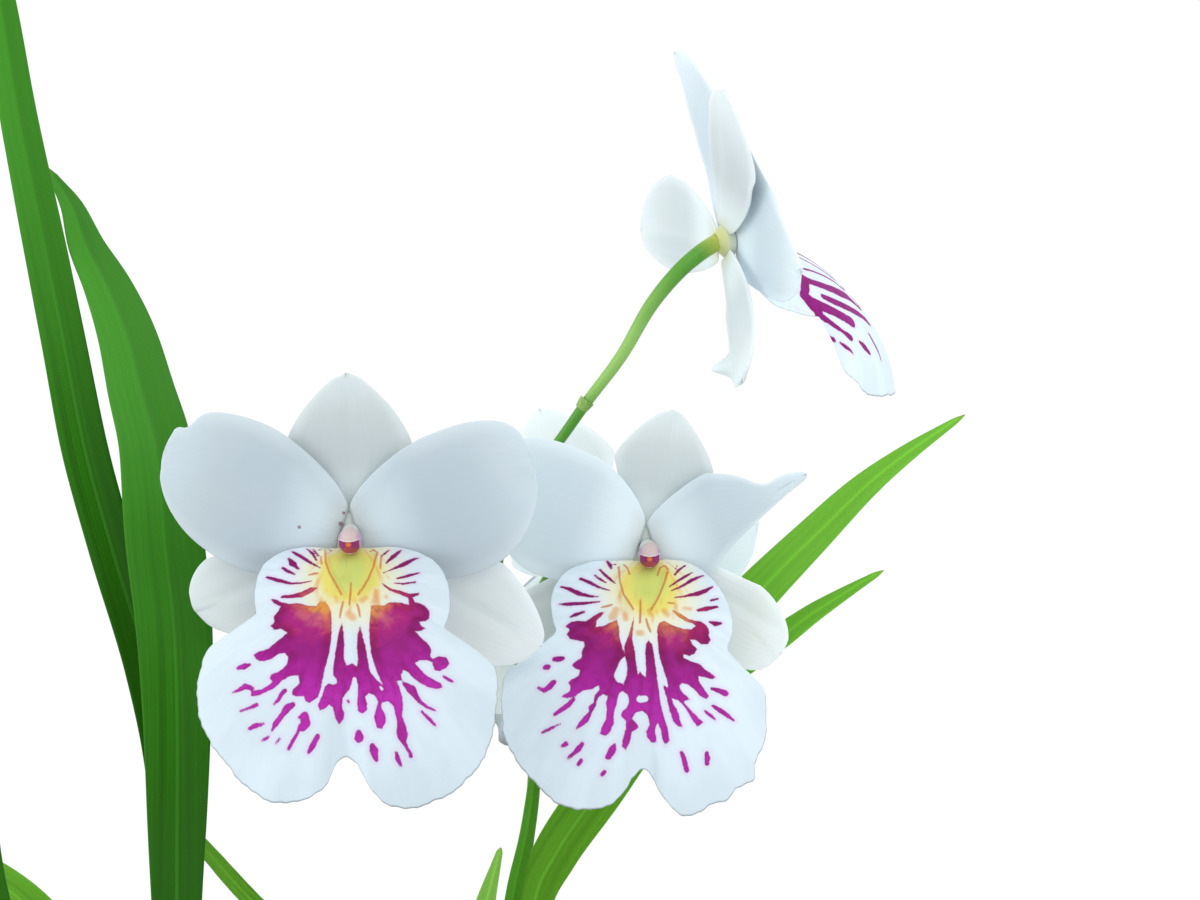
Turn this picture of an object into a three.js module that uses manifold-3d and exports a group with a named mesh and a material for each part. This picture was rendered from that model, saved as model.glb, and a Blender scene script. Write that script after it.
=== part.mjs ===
// Pansy orchid in a plain round pot: pot, bark, pseudobulbs, leaves, one flower stem and four blooms.
// Millimetres, +Z up, the origin at the middle of the pot's flat underside, blooms facing -Y.
import * as THREE from 'three';
import { mergeVertices } from 'three/addons/utils/BufferGeometryUtils.js';
import Module from 'manifold-3d';

const wasm = await Module();
wasm.setup();

// ---- Pot and bark ----------------------------------------------------------------------------
const POT_HEIGHT = 105;
const POT_RIM_RADIUS = 62.5;
const POT_COLLAR_DEPTH = 18;
const POT_COLLAR_STEP = 3;
const POT_BASE_RADIUS = 44;
const POT_WALL = 4;
const POT_FLOOR = 6;
const POT_EDGE = 1.5;
const POT_SIDES = 36;
const POT_COLLAR_SOFTENING = 1;
const DRAIN_RADIUS = 4;
const DRAIN_RING_RADIUS = 22;
const DRAIN_COUNT = 4;
const BARK_LEVEL = 93;
const BARK_DOME = 3;
const BARK_CLEARANCE = 0.4;
const BARK_FLAT_SHARE = 0.6;
const BARK_CHIP_COUNT = 24;
const BARK_CHIP_LENGTH = 7.2;
const BARK_CHIP_WIDTH = 4.8;
const BARK_CHIP_THICKNESS = 3.8;
const BARK_CHIP_VARY = 0.6;
const BARK_EDGE = 10;
const BARK_CHIP_TURN = 2.4;
const BARK_CHIP_TIP = 0.7;
const BARK_SEED = 11;

// ---- Fits ------------------------------------------------------------------------------------
const SOCKET_GAP = 0.3;
const SOCKET_DEPTH = 9;
const SOCKET_START = -0.6;
const CROWN_SOCKET_DEPTH = 9;
const CROWN_SOCKET_EXTRA = 0.5;
const CUT_OVER = 1;
const PIN_SIDES = 12;

// ---- Blades ----------------------------------------------------------------------------------
const LEAF_THICKNESS = 1.0;
const LEAF_ROWS = 12;
const LEAF_COLUMNS = 4;
const TEPAL_THICKNESS = 0.8;
const TEPAL_ROWS = 8;
const TEPAL_COLUMNS = 4;
const TEPAL_ROW_EVEN = 0.35;
const TEPAL_FOOT = 1.5;
const TEPAL_TIP = 0.7;
const LIP_THICKNESS = 0.9;
const LIP_RINGS = [0.24, 0.5, 0.77, 1];

// ---- Bloom -----------------------------------------------------------------------------------
const SEPAL_LEVEL = -2.0;
const SEPAL_REFLEX = 0.002;
const PETAL_LEVEL = 0;
const PETAL_REFLEX = 0.0012;
const LIP_START_Y = -3.1;
const LIP_START_Z = 2.1;
const LIP_LENGTH = 52;
const LIP_CENTRE = 8.5;
const LIP_NORMAL_STEP = 0.05;
const CALLUS_HEIGHT = 1.1;
const CALLUS_WIDTH = 4.6;
const CALLUS_LENGTH = 5.5;
const COLUMN_RADIUS = 1.9;
const COLUMN_BACK = -2.9;
const COLUMN_FRONT = 3;
const COLUMN_SIDES = 12;
const HOOD_LENGTH = 9;
const HOOD_WIDTH = 4.4;
const HOOD_HEIGHT = 5;
const HOOD_DROOP = 6;
const HOOD_RISE = 0.9;
const HOOD_START = 1;
const HOOD_SIDES = 14;
const HOOD_RINGS = 9;
const STALK_START = -3.2;
const STALK_STRAIGHT = -5.4;
const STALK_RADIUS_FLOWER = 1.8;
const STALK_RADIUS_STEM = 1.0;
const STEM_RADIUS_BASE = 1.9;
const STEM_RADIUS_MIDDLE = 1.3;
const STEM_RADIUS_TOP = 1.0;
const STEM_STEPS = 22;
const STALK_STEPS = 9;
const STEM_SIDES = 8;
const BRACT_RADII = [1.6, 1.4, 0.4];
const BRACT_STEPS = 3;
const BRACT_ROOT = -1.5;
const BRACT_FORWARD = -0.35;

// ---- View from in front of the plant ---------------------------------------------------------
const VIEW_FROM = { x: 46.6, y: -585, z: 233.7 };
const VIEW_WIDTH = 1200;
const VIEW_HEIGHT = 900;
const VIEW_FOCAL = 3000;
const VIEW_STEPS = 30;
const VIEW_NUDGE = 1e-3;
const VIEW_STRIDE = 5;

// ---- Colours ---------------------------------------------------------------------------------
const TERRACOTTA = 0xb5694a;
const BARK_BROWN = 0x6a4a33;
const BULB_GREEN = 0x8fae4e;
const LEAF_DEEP = 0x2f7a24;
const LEAF_BRIGHT = 0x5fae32;
const SHEATH_GREEN = 0x9bd066;
const STEM_GREEN = 0x9cb866;
const TEPAL_WHITE = 0xe6eef2;
const SEPAL_CREAM = 0xe9ebdd;
const LIP_MAGENTA = 0xb43a90;
const COLUMN_PINK = 0xe6c6cf;

// A tepal grows out from `from` at `turn` degrees, from `start` to `length` along it, and `sway`
// carries its tip sideways. Each side, anticlockwise and clockwise, has its greatest half width, where
// along the tepal that falls, and how full the edge is below and above it: 1 straight, 2 round.
const LEFT_FORM = {
  dorsal_sepal: {
    from: [0, 0], turn: 90, start: 2.4, length: 29.8, sway: 0, sepal: true,
    left: [11.5, 17, 1.15, 1.3], right: [12, 16.5, 1.15, 1.3],
  },
  left_petal: {
    from: [-1, -0.5], turn: 162, start: 1.8, length: 37, sway: -4, sepal: false,
    left: [14, 19, 2, 2], right: [14.5, 19, 1.5, 2.2],
  },
  right_petal: {
    from: [1, -0.5], turn: 17, start: 1.8, length: 36.5, sway: 4, sepal: false,
    left: [13, 17.5, 1.5, 2.4], right: [16, 22, 1.7, 2],
  },
  left_lateral_sepal: {
    from: [-1.5, -2], turn: 208, start: 0, length: 33, sway: 0, sepal: true,
    left: [11.5, 18.5, 1.2, 1.8], right: [8, 25, 1, 1.7],
  },
  right_lateral_sepal: {
    from: [1.5, -2], turn: -34, start: 0, length: 42, sway: 0, sepal: true,
    left: [10.5, 26, 1, 1.4], right: [11.5, 22, 1.3, 2],
  },
};
const RIGHT_FORM = {
  dorsal_sepal: {
    from: [0, 0], turn: 80, start: 2.4, length: 27.5, sway: -0.5, sepal: true,
    left: [9.5, 16.5, 1.1, 1.3], right: [10.5, 16.5, 1, 1.25],
  },
  left_petal: {
    from: [-1, -0.5], turn: 163, start: 1.8, length: 33, sway: -7, sepal: false,
    left: [14, 21, 1.6, 1.9], right: [14, 13, 1.5, 2.2],
  },
  right_petal: {
    from: [1, -0.5], turn: 18, start: 1.8, length: 34, sway: 4.5, sepal: false,
    left: [10.5, 15, 1.5, 1], right: [10, 10, 1.8, 0.72],
  },
  left_lateral_sepal: {
    from: [-1.5, -2], turn: 208, start: 0, length: 32, sway: 6, sepal: true,
    left: [9.5, 18, 1.25, 2], right: [6.5, 24, 0.85, 1.5],
  },
  right_lateral_sepal: {
    from: [1.5, -2], turn: -34, start: 0, length: 34.5, sway: -4, sepal: true,
    left: [7.5, 22, 0.9, 2], right: [9.5, 23, 1.2, 2.2],
  },
};
const TOP_FORM = {
  dorsal_sepal: {
    from: [0, 0], turn: 82, start: 2.4, length: 31, sway: 0, sepal: true, reflex: 0.0025,
    left: [15, 18, 1.3, 1.5], right: [8, 20, 1.2, 1.8],
  },
  left_petal: {
    from: [-1, -0.5], turn: 157, start: 1.8, length: 33.5, sway: 0, sepal: false,
    left: [8, 19, 1.6, 2], right: [20.5, 9, 1.6, 1.05],
  },
  right_petal: {
    from: [1, -0.5], turn: 35, start: 1.8, length: 40, sway: 2, sepal: false,
    left: [13, 19, 1.3, 1.5], right: [2.5, 19, 1.1, 1.3],
  },
  left_lateral_sepal: {
    from: [-1.8, -2.1], turn: 212, start: 0, length: 28.5, sway: -3, sepal: true, reflex: 0.006,
    left: [6.5, 22, 1.2, 2.6], right: [9, 22, 1.2, 2.6],
  },
  right_lateral_sepal: {
    from: [1.8, -2.1], turn: -25, start: 0, length: 34, sway: 0, sepal: true,
    left: [12.5, 19, 1.4, 1.8], right: [7, 18, 1.5, 1.8],
  },
};
const REAR_FORM = {
  ...RIGHT_FORM,
  dorsal_sepal: { ...LEFT_FORM.dorsal_sepal, turn: 72 },
  left_petal: { ...RIGHT_FORM.left_petal, turn: 182 },
  right_petal: { ...RIGHT_FORM.right_petal, turn: 34 },
  right_lateral_sepal: { ...RIGHT_FORM.right_lateral_sepal, turn: -50 },
};

// The margin of each front lip as it looks from in front of the plant, in points of the view.
const LEFT_LIP_VIEW = [
  [345, 757], [335, 765], [326, 786], [314, 795], [290, 803], [272, 802], [245, 786], [227, 765],
  [210, 742], [200, 720], [197, 699], [201, 666], [212, 645], [230, 633], [256, 612], [255, 588],
  [262, 567], [280, 553], [305, 547], [330, 548], [349, 548], [370, 548], [395, 547], [420, 553],
  [440, 566], [449, 588], [450, 610], [445, 628], [458, 637], [494, 666], [497, 699], [494, 726],
  [485, 756], [470, 777], [443, 798], [419, 807], [392, 807], [371, 789], [356, 763],
];
const RIGHT_LIP_VIEW = [
  [643, 769], [633, 777], [625, 791], [611, 804], [599, 809], [577, 809], [557, 804], [546, 794],
  [529, 777], [518, 763], [512, 754], [503, 731], [502, 716], [502, 688], [504, 678], [510, 669],
  [524, 660], [556, 630], [551, 610], [553, 590], [565, 573], [590, 562], [615, 560], [645, 562],
  [675, 560], [698, 567], [714, 581], [728, 603], [733, 628], [728, 651], [762, 687], [766, 721],
  [766, 738], [755, 763], [754, 780], [737, 788], [728, 800], [712, 804], [698, 814], [684, 816],
  [672, 808], [661, 794], [650, 774],
];

// `yaw` turns the face about +Z from -Y, `nod` tips it down, `roll` turns it about its own axis.
// `stalk` runs from just behind the flower to its node on the stem.
const BLOOMS = {
  left_bloom: {
    at: [-1, -16, 218.5], yaw: 0, nod: 16, roll: 0, size: 1, form: LEFT_FORM,
    lip: { margin: 'left', tilt: [25, 70], arch: 0.006, size: 1 },
    stalk: [[-0.5, -6, 221], [6, 6, 221], [16, 18, 215], [27.8, 28, 203]],
  },
  right_bloom: {
    at: [55.8, 14, 214.7], yaw: 0, nod: 16, roll: 0, size: 1, form: RIGHT_FORM,
    lip: { margin: 'right', tilt: [25, 70], arch: 0.006, size: 1 },
    stalk: [[55, 23, 217], [46, 31, 216], [37, 32, 206.5], [30, 28, 194]],
  },
  top_bloom: {
    at: [73.5, 22, 276.2], yaw: 110, nod: -7, roll: 34, size: 1.05, form: TOP_FORM,
    lip: { margin: 'left', tilt: [8, 70], arch: 0.014, size: 0.9 },
    stalk: null,
  },
  rear_bloom: {
    at: [43.5, 56, 212], yaw: 178, nod: 14, roll: 0, size: 1.08, form: REAR_FORM,
    lip: { margin: 'right', tilt: [25, 70], arch: 0.006, size: 0.9 },
    stalk: [[42.5, 44, 214], [37, 37, 209], [30.2, 28.5, 197]],
  },
};

const STEM_PATH = [[26.5, 22, 86], [27, 24, 110], [29.5, 26.5, 142], [31.6, 27, 154], [33.1, 27.5, 166],
  [32.5, 28, 182], [29.6, 28, 196], [25.9, 28, 210.6], [31, 27, 226], [38.3, 25, 235.5],
  [44, 23, 243.5], [50.8, 20.5, 252.5], [57, 18.5, 263], [62.5, 17.4, 270.4], [66.3, 17.8, 275]];
const NODE_BRACTS = [
  { at: [30.6, 28, 191], lean: -0.5, length: 9 },
  { at: [43.6, 23, 243], lean: 0.5, length: 7 },
];

// A pseudobulb stands at `at` on the bark: its width, depth and height, its lean and its turn.
const PSEUDOBULBS = [
  { at: [-36, 2], size: [23, 13, 43], lean: [-5, 0], turn: 8 },
  { at: [-15, 13], size: [20, 12, 36], lean: [2, 3], turn: -12 },
  { at: [31, -2], size: [24, 13, 42], lean: [4, -2], turn: -6 },
  { at: [8, -16], size: [18, 11, 31], lean: [1, -6], turn: 20 },
];
const BULB_FOOT_RADIUS = 4;
const BULB_FOOT_LENGTH = 16;
const BULB_FOOT_BELOW = 10.5;
const BULB_SOCKET_BELOW = 13;
const BULB_LIFT = 5;
const BULB_SIDES = 14;
// Shares of the bulb's half width and of its height, from its foot to its crown.
const BULB_PROFILE = [[0, -0.04], [0.3, -0.02], [0.72, 0.08], [0.95, 0.22], [1, 0.38], [0.93, 0.56],
  [0.74, 0.74], [0.46, 0.89], [0.3, 0.96], [0, 1]];

// A leaf follows `path` from its foot. `widths` are half widths at even steps; `face` is the way the
// upper side looks, at the foot and at the tip; `fold` is how far the halves lift, in degrees.
const LEAVES = [
  {
    name: 'leaf_left_tall', foot: 'bulb 0', tint: LEAF_DEEP,
    path: [[-39.2, 2.2, 136.4], [-38.8, 5, 146], [-38.5, 8, 158], [-39.5, 10.5, 172], [-43.5, 12, 190.5],
      [-50.6, 12, 214], [-55.8, 11, 233.5], [-60.2, 9, 257.5], [-65, 6.5, 283.5], [-68.2, 5, 301],
      [-71.2, 3, 322], [-75.5, 0, 351]],
    widths: [1.5, 3.8, 4.7, 4.8, 4.8, 4.8, 4.6, 4.4, 4, 3.6, 2.6, 0.5],
    face: [[0.2, -1, 0], [0.35, -1, 0.1]], fold: 16,
  },
  {
    name: 'leaf_left_wide', foot: 'bark', tint: LEAF_DEEP,
    path: [[-33.6, -11, 86], [-34, -11, 100], [-34.8, -8, 148], [-35.7, -2, 183.5], [-36.7, 0, 200],
      [-38.6, 2, 214], [-41, 5, 233.7], [-44, 7, 244.3], [-47.2, 9, 255.6], [-51.4, 11, 265.5],
      [-55.8, 12, 274], [-58.8, 13, 282], [-61.7, 14, 286.7], [-64.2, 14.6, 290.5]],
    widths: [2.2, 2.8, 4, 4.8, 5.9, 6.8, 7.7, 8, 7.3, 6.1, 4, 0.5],
    face: [[0, -1, 0], [0.45, -1, 0.45]], fold: 14,
  },
  {
    name: 'leaf_left_outer', foot: 'bark', tint: LEAF_DEEP,
    path: [[-45.5, -14, 86], [-46, -14, 100], [-56, -10, 116], [-68, -5, 131], [-73.8, -3, 148],
      [-77, -4, 168], [-82, -5, 196], [-91, -6, 226], [-101, -7, 250]],
    widths: [2.2, 3, 4.6, 5.4, 5.6, 5.4, 4.6, 3.2, 0.5], face: [[0.4, -1, 0.1], [0.5, -1, 0.3]], fold: 18,
  },
  {
    name: 'leaf_left_low', foot: 'bark', tint: LEAF_BRIGHT,
    path: [[-43, 17, 86], [-43.5, 17, 99], [-52, 15, 120], [-64, 13, 138.5], [-75.5, 12, 148.5],
      [-90, 10, 154], [-104, 8, 151], [-116, 6, 140]],
    widths: [2.2, 3.4, 4.8, 5.2, 4.8, 3.2, 0.5], face: [[0.4, -0.6, 0.6], [0.2, -0.4, 1]], fold: 18,
  },
  {
    name: 'leaf_left_young', foot: 'bulb 1', tint: LEAF_BRIGHT,
    path: [[-13.8, 14.7, 130.2], [-17, 14.8, 137], [-25.5, 14.5, 146], [-31.5, 15.5, 152.5],
      [-38, 16.5, 160]],
    widths: [1.5, 1.9, 2, 1.8, 0.5], face: [[0.3, -1, 0.3], [0.4, -1, 0.4]], fold: 24,
  },
  {
    name: 'leaf_right_long', foot: 'bark', tint: LEAF_BRIGHT,
    path: [[37.5, 11, 86], [36.5, 12, 100], [33.5, 18, 142.9], [37.5, 20, 151.9], [46.6, 23, 164.8],
      [56.8, 29, 178.7], [67.3, 32, 190.3], [76.8, 34, 201.3], [85.3, 34.5, 210.2], [93.4, 34.5, 218],
      [102.5, 34.5, 226.8], [110.4, 34.5, 233], [122, 34.5, 241]],
    widths: [2.2, 2.3, 2.5, 2.8, 4.6, 5.3, 5.6, 5.7, 5.4, 4.8, 3.9, 2.4, 0.5],
    face: [[0.2, -1, 0.1], [-0.45, -1, 0.7]], fold: 14,
  },
  {
    name: 'leaf_right_second', foot: 'bark', tint: LEAF_BRIGHT,
    path: [[41, 26, 86], [39.5, 26.5, 100], [33.4, 30, 141.5], [36.2, 31, 149.5], [44.8, 34, 162],
      [64, 38.5, 180.5], [85, 40, 195], [91, 40.3, 199.4], [96.9, 40.5, 203.1], [105.8, 40.8, 208.6]],
    widths: [2.2, 2.4, 2.6, 2.8, 3.6, 4.2, 4.2, 3.6, 2.4, 0.5],
    face: [[0.2, -1, 0.1], [-0.4, -1, 0.7]], fold: 16,
  },
  {
    name: 'leaf_right_folded', foot: 'bark', tint: LEAF_DEEP,
    path: [[22, 12, 86], [23.5, 12.5, 100], [28.8, 14, 144], [31.8, 15, 158], [33.5, 15.5, 170],
      [36, 16, 184]],
    widths: [2, 2.2, 2.2, 2, 1.6, 0.5], face: [[0.5, -1, 0], [0.5, -1, 0.1]], fold: 30,
  },
  {
    name: 'leaf_right_low', foot: 'bulb 2', tint: LEAF_BRIGHT,
    path: [[33.6, -3.3, 136.2], [36, -4.5, 140], [46, -8, 141], [62, -13, 136], [77, -18, 122],
      [87, -22, 104]],
    widths: [1.5, 3.6, 5, 5, 3.6, 0.5], face: [[-0.4, -0.3, 1], [0.5, 0, 0.8]], fold: 16,
  },
  {
    name: 'leaf_front_low', foot: 'bark', tint: LEAF_DEEP,
    path: [[3, -28, 86], [3, -29, 98], [1, -37, 118], [-5, -52, 134], [-13, -70, 138],
      [-21, -88, 128], [-26, -100, 112]],
    widths: [2.2, 3, 4.8, 5.4, 5, 3.4, 0.5], face: [[0, -0.8, 0.6], [0, 0.3, 1]], fold: 18,
  },
  {
    name: 'leaf_back_left', foot: 'bark', tint: LEAF_DEEP,
    path: [[-20, 27, 86], [-20.5, 28, 100], [-25, 37, 117], [-32, 53, 126], [-38, 71, 125],
      [-44, 89, 111]],
    widths: [2.2, 3.2, 5, 5.4, 4.2, 0.5], face: [[0, 0.8, 0.6], [0, 0.3, 1]], fold: 18,
  },
  {
    name: 'leaf_back_right', foot: 'bark', tint: LEAF_DEEP,
    path: [[14, 33, 86], [14, 34, 100], [16, 44, 115], [22, 60, 122], [28, 78, 117],
      [33, 92, 101]],
    widths: [2.2, 3, 4.8, 5, 3.8, 0.5], face: [[0, 0.8, 0.6], [0, 0.3, 1]], fold: 18,
  },
  {
    name: 'sheath_right', foot: 'bark', tint: SHEATH_GREEN,
    path: [[15, 6, 86], [16.5, 6, 98], [20.5, 7, 126], [24, 8, 143], [27, 9, 155]],
    widths: [2.4, 3.6, 4, 3, 0.6], face: [[-0.3, -1, 0], [-0.3, -1, 0.1]], fold: 26,
  },
  {
    name: 'sheath_left', foot: 'bark', tint: SHEATH_GREEN,
    path: [[-24, 1, 86], [-24, 0, 98], [-22.5, -1, 118], [-20.5, -1, 134]],
    widths: [2.4, 3.8, 3.4, 0.6], face: [[0.5, -1, 0], [0.5, -1, 0.1]], fold: 26,
  },
];

// ---- Helpers ---------------------------------------------------------------------------------
const V = (x, y, z) => new THREE.Vector3(x, y, z);
const radians = THREE.MathUtils.degToRad;

function seededRandom(seed) {
  let state = seed;
  return () => {
    state = (state * 16807) % 2147483647;
    return state / 2147483647;
  };
}

/** Smooth value at x through sorted [x, value] rows, without overshoot. */
function smoothThrough(rows, x) {
  const last = rows.length - 1;
  if (x <= rows[0][0]) return rows[0][1];
  if (x >= rows[last][0]) return rows[last][1];
  const slope = (i) => (rows[i + 1][1] - rows[i][1]) / (rows[i + 1][0] - rows[i][0]);
  const tangent = (i) => {
    if (i === 0) return slope(0);
    if (i === last) return slope(last - 1);
    const before = slope(i - 1);
    const after = slope(i);
    return before * after <= 0 ? 0 : (2 * before * after) / (before + after);
  };
  let i = 0;
  while (x > rows[i + 1][0]) i += 1;
  const h = rows[i + 1][0] - rows[i][0];
  const t = (x - rows[i][0]) / h;
  const a = rows[i][1];
  const b = rows[i + 1][1];
  return a * (1 + 2 * t) * (1 - t) ** 2 + b * t * t * (3 - 2 * t)
    + h * (tangent(i) * t * (1 - t) ** 2 - tangent(i + 1) * t * t * (1 - t));
}

function geometryFrom(points, triangles) {
  const geometry = new THREE.BufferGeometry();
  const flat = points.flatMap((p) => [p.x, p.y, p.z]);
  geometry.setAttribute('position', new THREE.Float32BufferAttribute(flat, 3));
  geometry.setIndex(triangles.flat());
  geometry.computeVertexNormals();
  return geometry;
}

/** A closed sheet from two grids of points with the same diagonals: grid[row][column]. */
function sheetGeometry(front, back) {
  const rows = front.length;
  const columns = front[0].length;
  const points = [...front.flat(), ...back.flat()];
  const f = (r, c) => r * columns + c;
  const b = (r, c) => rows * columns + r * columns + c;
  const triangles = [];
  for (let r = 0; r < rows - 1; r += 1) {
    for (let c = 0; c < columns - 1; c += 1) {
      triangles.push([f(r, c), f(r, c + 1), f(r + 1, c + 1)], [f(r, c), f(r + 1, c + 1), f(r + 1, c)]);
      triangles.push([b(r, c), b(r + 1, c + 1), b(r, c + 1)], [b(r, c), b(r + 1, c), b(r + 1, c + 1)]);
    }
  }
  const rim = [];
  for (let c = 0; c < columns - 1; c += 1) rim.push([0, c]);
  for (let r = 0; r < rows - 1; r += 1) rim.push([r, columns - 1]);
  for (let c = columns - 1; c > 0; c -= 1) rim.push([rows - 1, c]);
  for (let r = rows - 1; r > 0; r -= 1) rim.push([r, 0]);
  rim.forEach(([r, c], i) => {
    const [rn, cn] = rim[(i + 1) % rim.length];
    triangles.push([f(r, c), b(r, c), f(rn, cn)], [f(rn, cn), b(r, c), b(rn, cn)]);
  });
  return geometryFrom(points, triangles);
}

function toManifold(geometry) {
  const bare = new THREE.BufferGeometry();
  bare.setAttribute('position', geometry.getAttribute('position'));
  bare.setIndex(geometry.getIndex());
  const welded = mergeVertices(bare, 1e-4);
  const mesh = new wasm.Mesh({
    numProp: 3,
    vertProperties: new Float32Array(welded.getAttribute('position').array),
    triVerts: new Uint32Array(welded.getIndex().array),
  });
  return new wasm.Manifold(mesh);
}

function fromManifold(solid) {
  const mesh = solid.getMesh();
  const geometry = new THREE.BufferGeometry();
  geometry.setAttribute('position', new THREE.BufferAttribute(mesh.vertProperties, 3));
  geometry.setIndex(new THREE.BufferAttribute(mesh.triVerts, 1));
  geometry.computeVertexNormals();
  return geometry;
}

/** A round rod along a smooth path, its radius running through `radii`, with flat ends. */
function rodGeometry(path, radii, steps, sides) {
  const curve = new THREE.CatmullRomCurve3(path.map((p) => V(...p)), false, 'centripetal');
  const frames = curve.computeFrenetFrames(steps, false);
  const points = [];
  const triangles = [];
  for (let i = 0; i <= steps; i += 1) {
    const t = i / steps;
    const centre = curve.getPointAt(t);
    const radius = smoothThrough(radii.map((r, k) => [k / (radii.length - 1), r]), t);
    for (let s = 0; s < sides; s += 1) {
      const a = (s / sides) * Math.PI * 2;
      points.push(centre.clone()
        .addScaledVector(frames.normals[i], Math.cos(a) * radius)
        .addScaledVector(frames.binormals[i], Math.sin(a) * radius));
    }
  }
  for (let i = 0; i < steps; i += 1) {
    for (let s = 0; s < sides; s += 1) {
      const a = i * sides + s;
      const b = i * sides + ((s + 1) % sides);
      triangles.push([a, b, b + sides], [a, b + sides, a + sides]);
    }
  }
  for (let s = 1; s < sides - 1; s += 1) {
    const top = steps * sides;
    triangles.push([0, s + 1, s], [top, top + s, top + s + 1]);
  }
  return geometryFrom(points, triangles);
}

/** A plain round pin from `from` towards `to`, used to cut a socket. */
function pin(from, to, radius) {
  const axis = to.clone().sub(from);
  const geometry = new THREE.CylinderGeometry(radius, radius, axis.length(), PIN_SIDES);
  geometry.applyQuaternion(new THREE.Quaternion().setFromUnitVectors(V(0, 1, 0), axis.clone().normalize()));
  geometry.translate(...from.clone().add(to).multiplyScalar(0.5).toArray());
  return toManifold(geometry);
}

// ---- Pot, bark and pseudobulbs ---------------------------------------------------------------
/** Inner radius of the pot wall at a height. */
function potInnerRadius(z) {
  return POT_BASE_RADIUS + (POT_RIM_RADIUS - POT_COLLAR_STEP - POT_BASE_RADIUS) * (z / POT_HEIGHT) - POT_WALL;
}

function potGeometry() {
  const collarFoot = POT_HEIGHT - POT_COLLAR_DEPTH;
  const shoulder = POT_HEIGHT - POT_EDGE;
  const profile = [
    [0, 0], [POT_BASE_RADIUS - POT_EDGE, 0], [POT_BASE_RADIUS, POT_EDGE],
    [potInnerRadius(collarFoot) + POT_WALL, collarFoot],
    [POT_RIM_RADIUS - POT_COLLAR_SOFTENING, collarFoot + POT_COLLAR_SOFTENING],
    [POT_RIM_RADIUS, shoulder], [POT_RIM_RADIUS - POT_EDGE, POT_HEIGHT],
    [potInnerRadius(POT_HEIGHT) + POT_EDGE, POT_HEIGHT], [potInnerRadius(shoulder), shoulder],
    [potInnerRadius(POT_FLOOR), POT_FLOOR], [0, POT_FLOOR],
  ];
  const geometry = new THREE.LatheGeometry(profile.map(([r, z]) => new THREE.Vector2(r, z)), POT_SIDES);
  geometry.rotateX(Math.PI / 2);
  let pot = toManifold(geometry);
  for (let i = 0; i < DRAIN_COUNT; i += 1) {
    const a = ((i + 0.5) / DRAIN_COUNT) * Math.PI * 2;
    const x = Math.cos(a) * DRAIN_RING_RADIUS;
    const y = Math.sin(a) * DRAIN_RING_RADIUS;
    pot = pot.subtract(pin(V(x, y, -CUT_OVER), V(x, y, POT_FLOOR + CUT_OVER), DRAIN_RADIUS));
  }
  return fromManifold(pot);
}

function barkGeometry(sockets) {
  const bottom = POT_FLOOR + BARK_CLEARANCE;
  const shoulder = BARK_LEVEL;
  const inside = (z) => potInnerRadius(z) - BARK_CLEARANCE;
  const profile = [
    [0, bottom], [inside(bottom), bottom], [inside(shoulder), shoulder],
    [inside(shoulder) * BARK_FLAT_SHARE, shoulder + BARK_DOME * (1 - BARK_FLAT_SHARE ** 2)],
    [0, shoulder + BARK_DOME],
  ];
  const bed = new THREE.LatheGeometry(profile.map(([r, z]) => new THREE.Vector2(r, z)), POT_SIDES);
  bed.rotateX(Math.PI / 2);
  let bark = toManifold(bed);
  const random = seededRandom(BARK_SEED);
  const vary = (size) => size * (1 + BARK_CHIP_VARY * random());
  const reach = potInnerRadius(shoulder) - BARK_EDGE;
  for (let i = 0; i < BARK_CHIP_COUNT; i += 1) {
    const radius = reach * Math.sqrt((i + 0.5) / BARK_CHIP_COUNT);
    const a = i * BARK_CHIP_TURN;
    const chip = new THREE.BoxGeometry(
      vary(BARK_CHIP_LENGTH), vary(BARK_CHIP_WIDTH), vary(BARK_CHIP_THICKNESS),
    );
    chip.rotateX((random() - 0.5) * BARK_CHIP_TIP);
    chip.rotateY((random() - 0.5) * BARK_CHIP_TIP);
    chip.rotateZ(random() * Math.PI);
    const z = shoulder + BARK_DOME * (1 - radius / reach) + random();
    chip.translate(Math.cos(a) * radius, Math.sin(a) * radius, z);
    bark = bark.add(toManifold(chip));
  }
  sockets.forEach((socket) => {
    bark = bark.subtract(socket);
  });
  return fromManifold(bark);
}

/** Where a point given above the bulb's own foot ends up once the bulb is turned, leaned and set. */
function bulbMatrix(bulb) {
  const lean = new THREE.Euler(radians(-bulb.lean[1]), radians(bulb.lean[0]), radians(bulb.turn));
  const matrix = new THREE.Matrix4().makeRotationFromEuler(lean);
  matrix.setPosition(bulb.at[0], bulb.at[1], BARK_LEVEL + BULB_LIFT);
  return matrix;
}

function bulbGeometry(bulb, sockets) {
  const [width, depth, height] = bulb.size;
  const body = new THREE.LatheGeometry(BULB_PROFILE.map(([r, z]) => new THREE.Vector2(r, z)), BULB_SIDES);
  body.rotateX(Math.PI / 2);
  body.scale(width / 2, depth / 2, height);
  const foot = new THREE.CylinderGeometry(BULB_FOOT_RADIUS, BULB_FOOT_RADIUS, BULB_FOOT_LENGTH, PIN_SIDES);
  foot.rotateX(Math.PI / 2);
  foot.translate(0, 0, BULB_FOOT_LENGTH / 2 - BULB_FOOT_BELOW);
  const matrix = bulbMatrix(bulb);
  body.applyMatrix4(matrix);
  foot.applyMatrix4(matrix);
  let solid = toManifold(body).add(toManifold(foot));
  sockets.forEach((socket) => {
    solid = solid.subtract(socket);
  });
  return fromManifold(solid);
}

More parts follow.
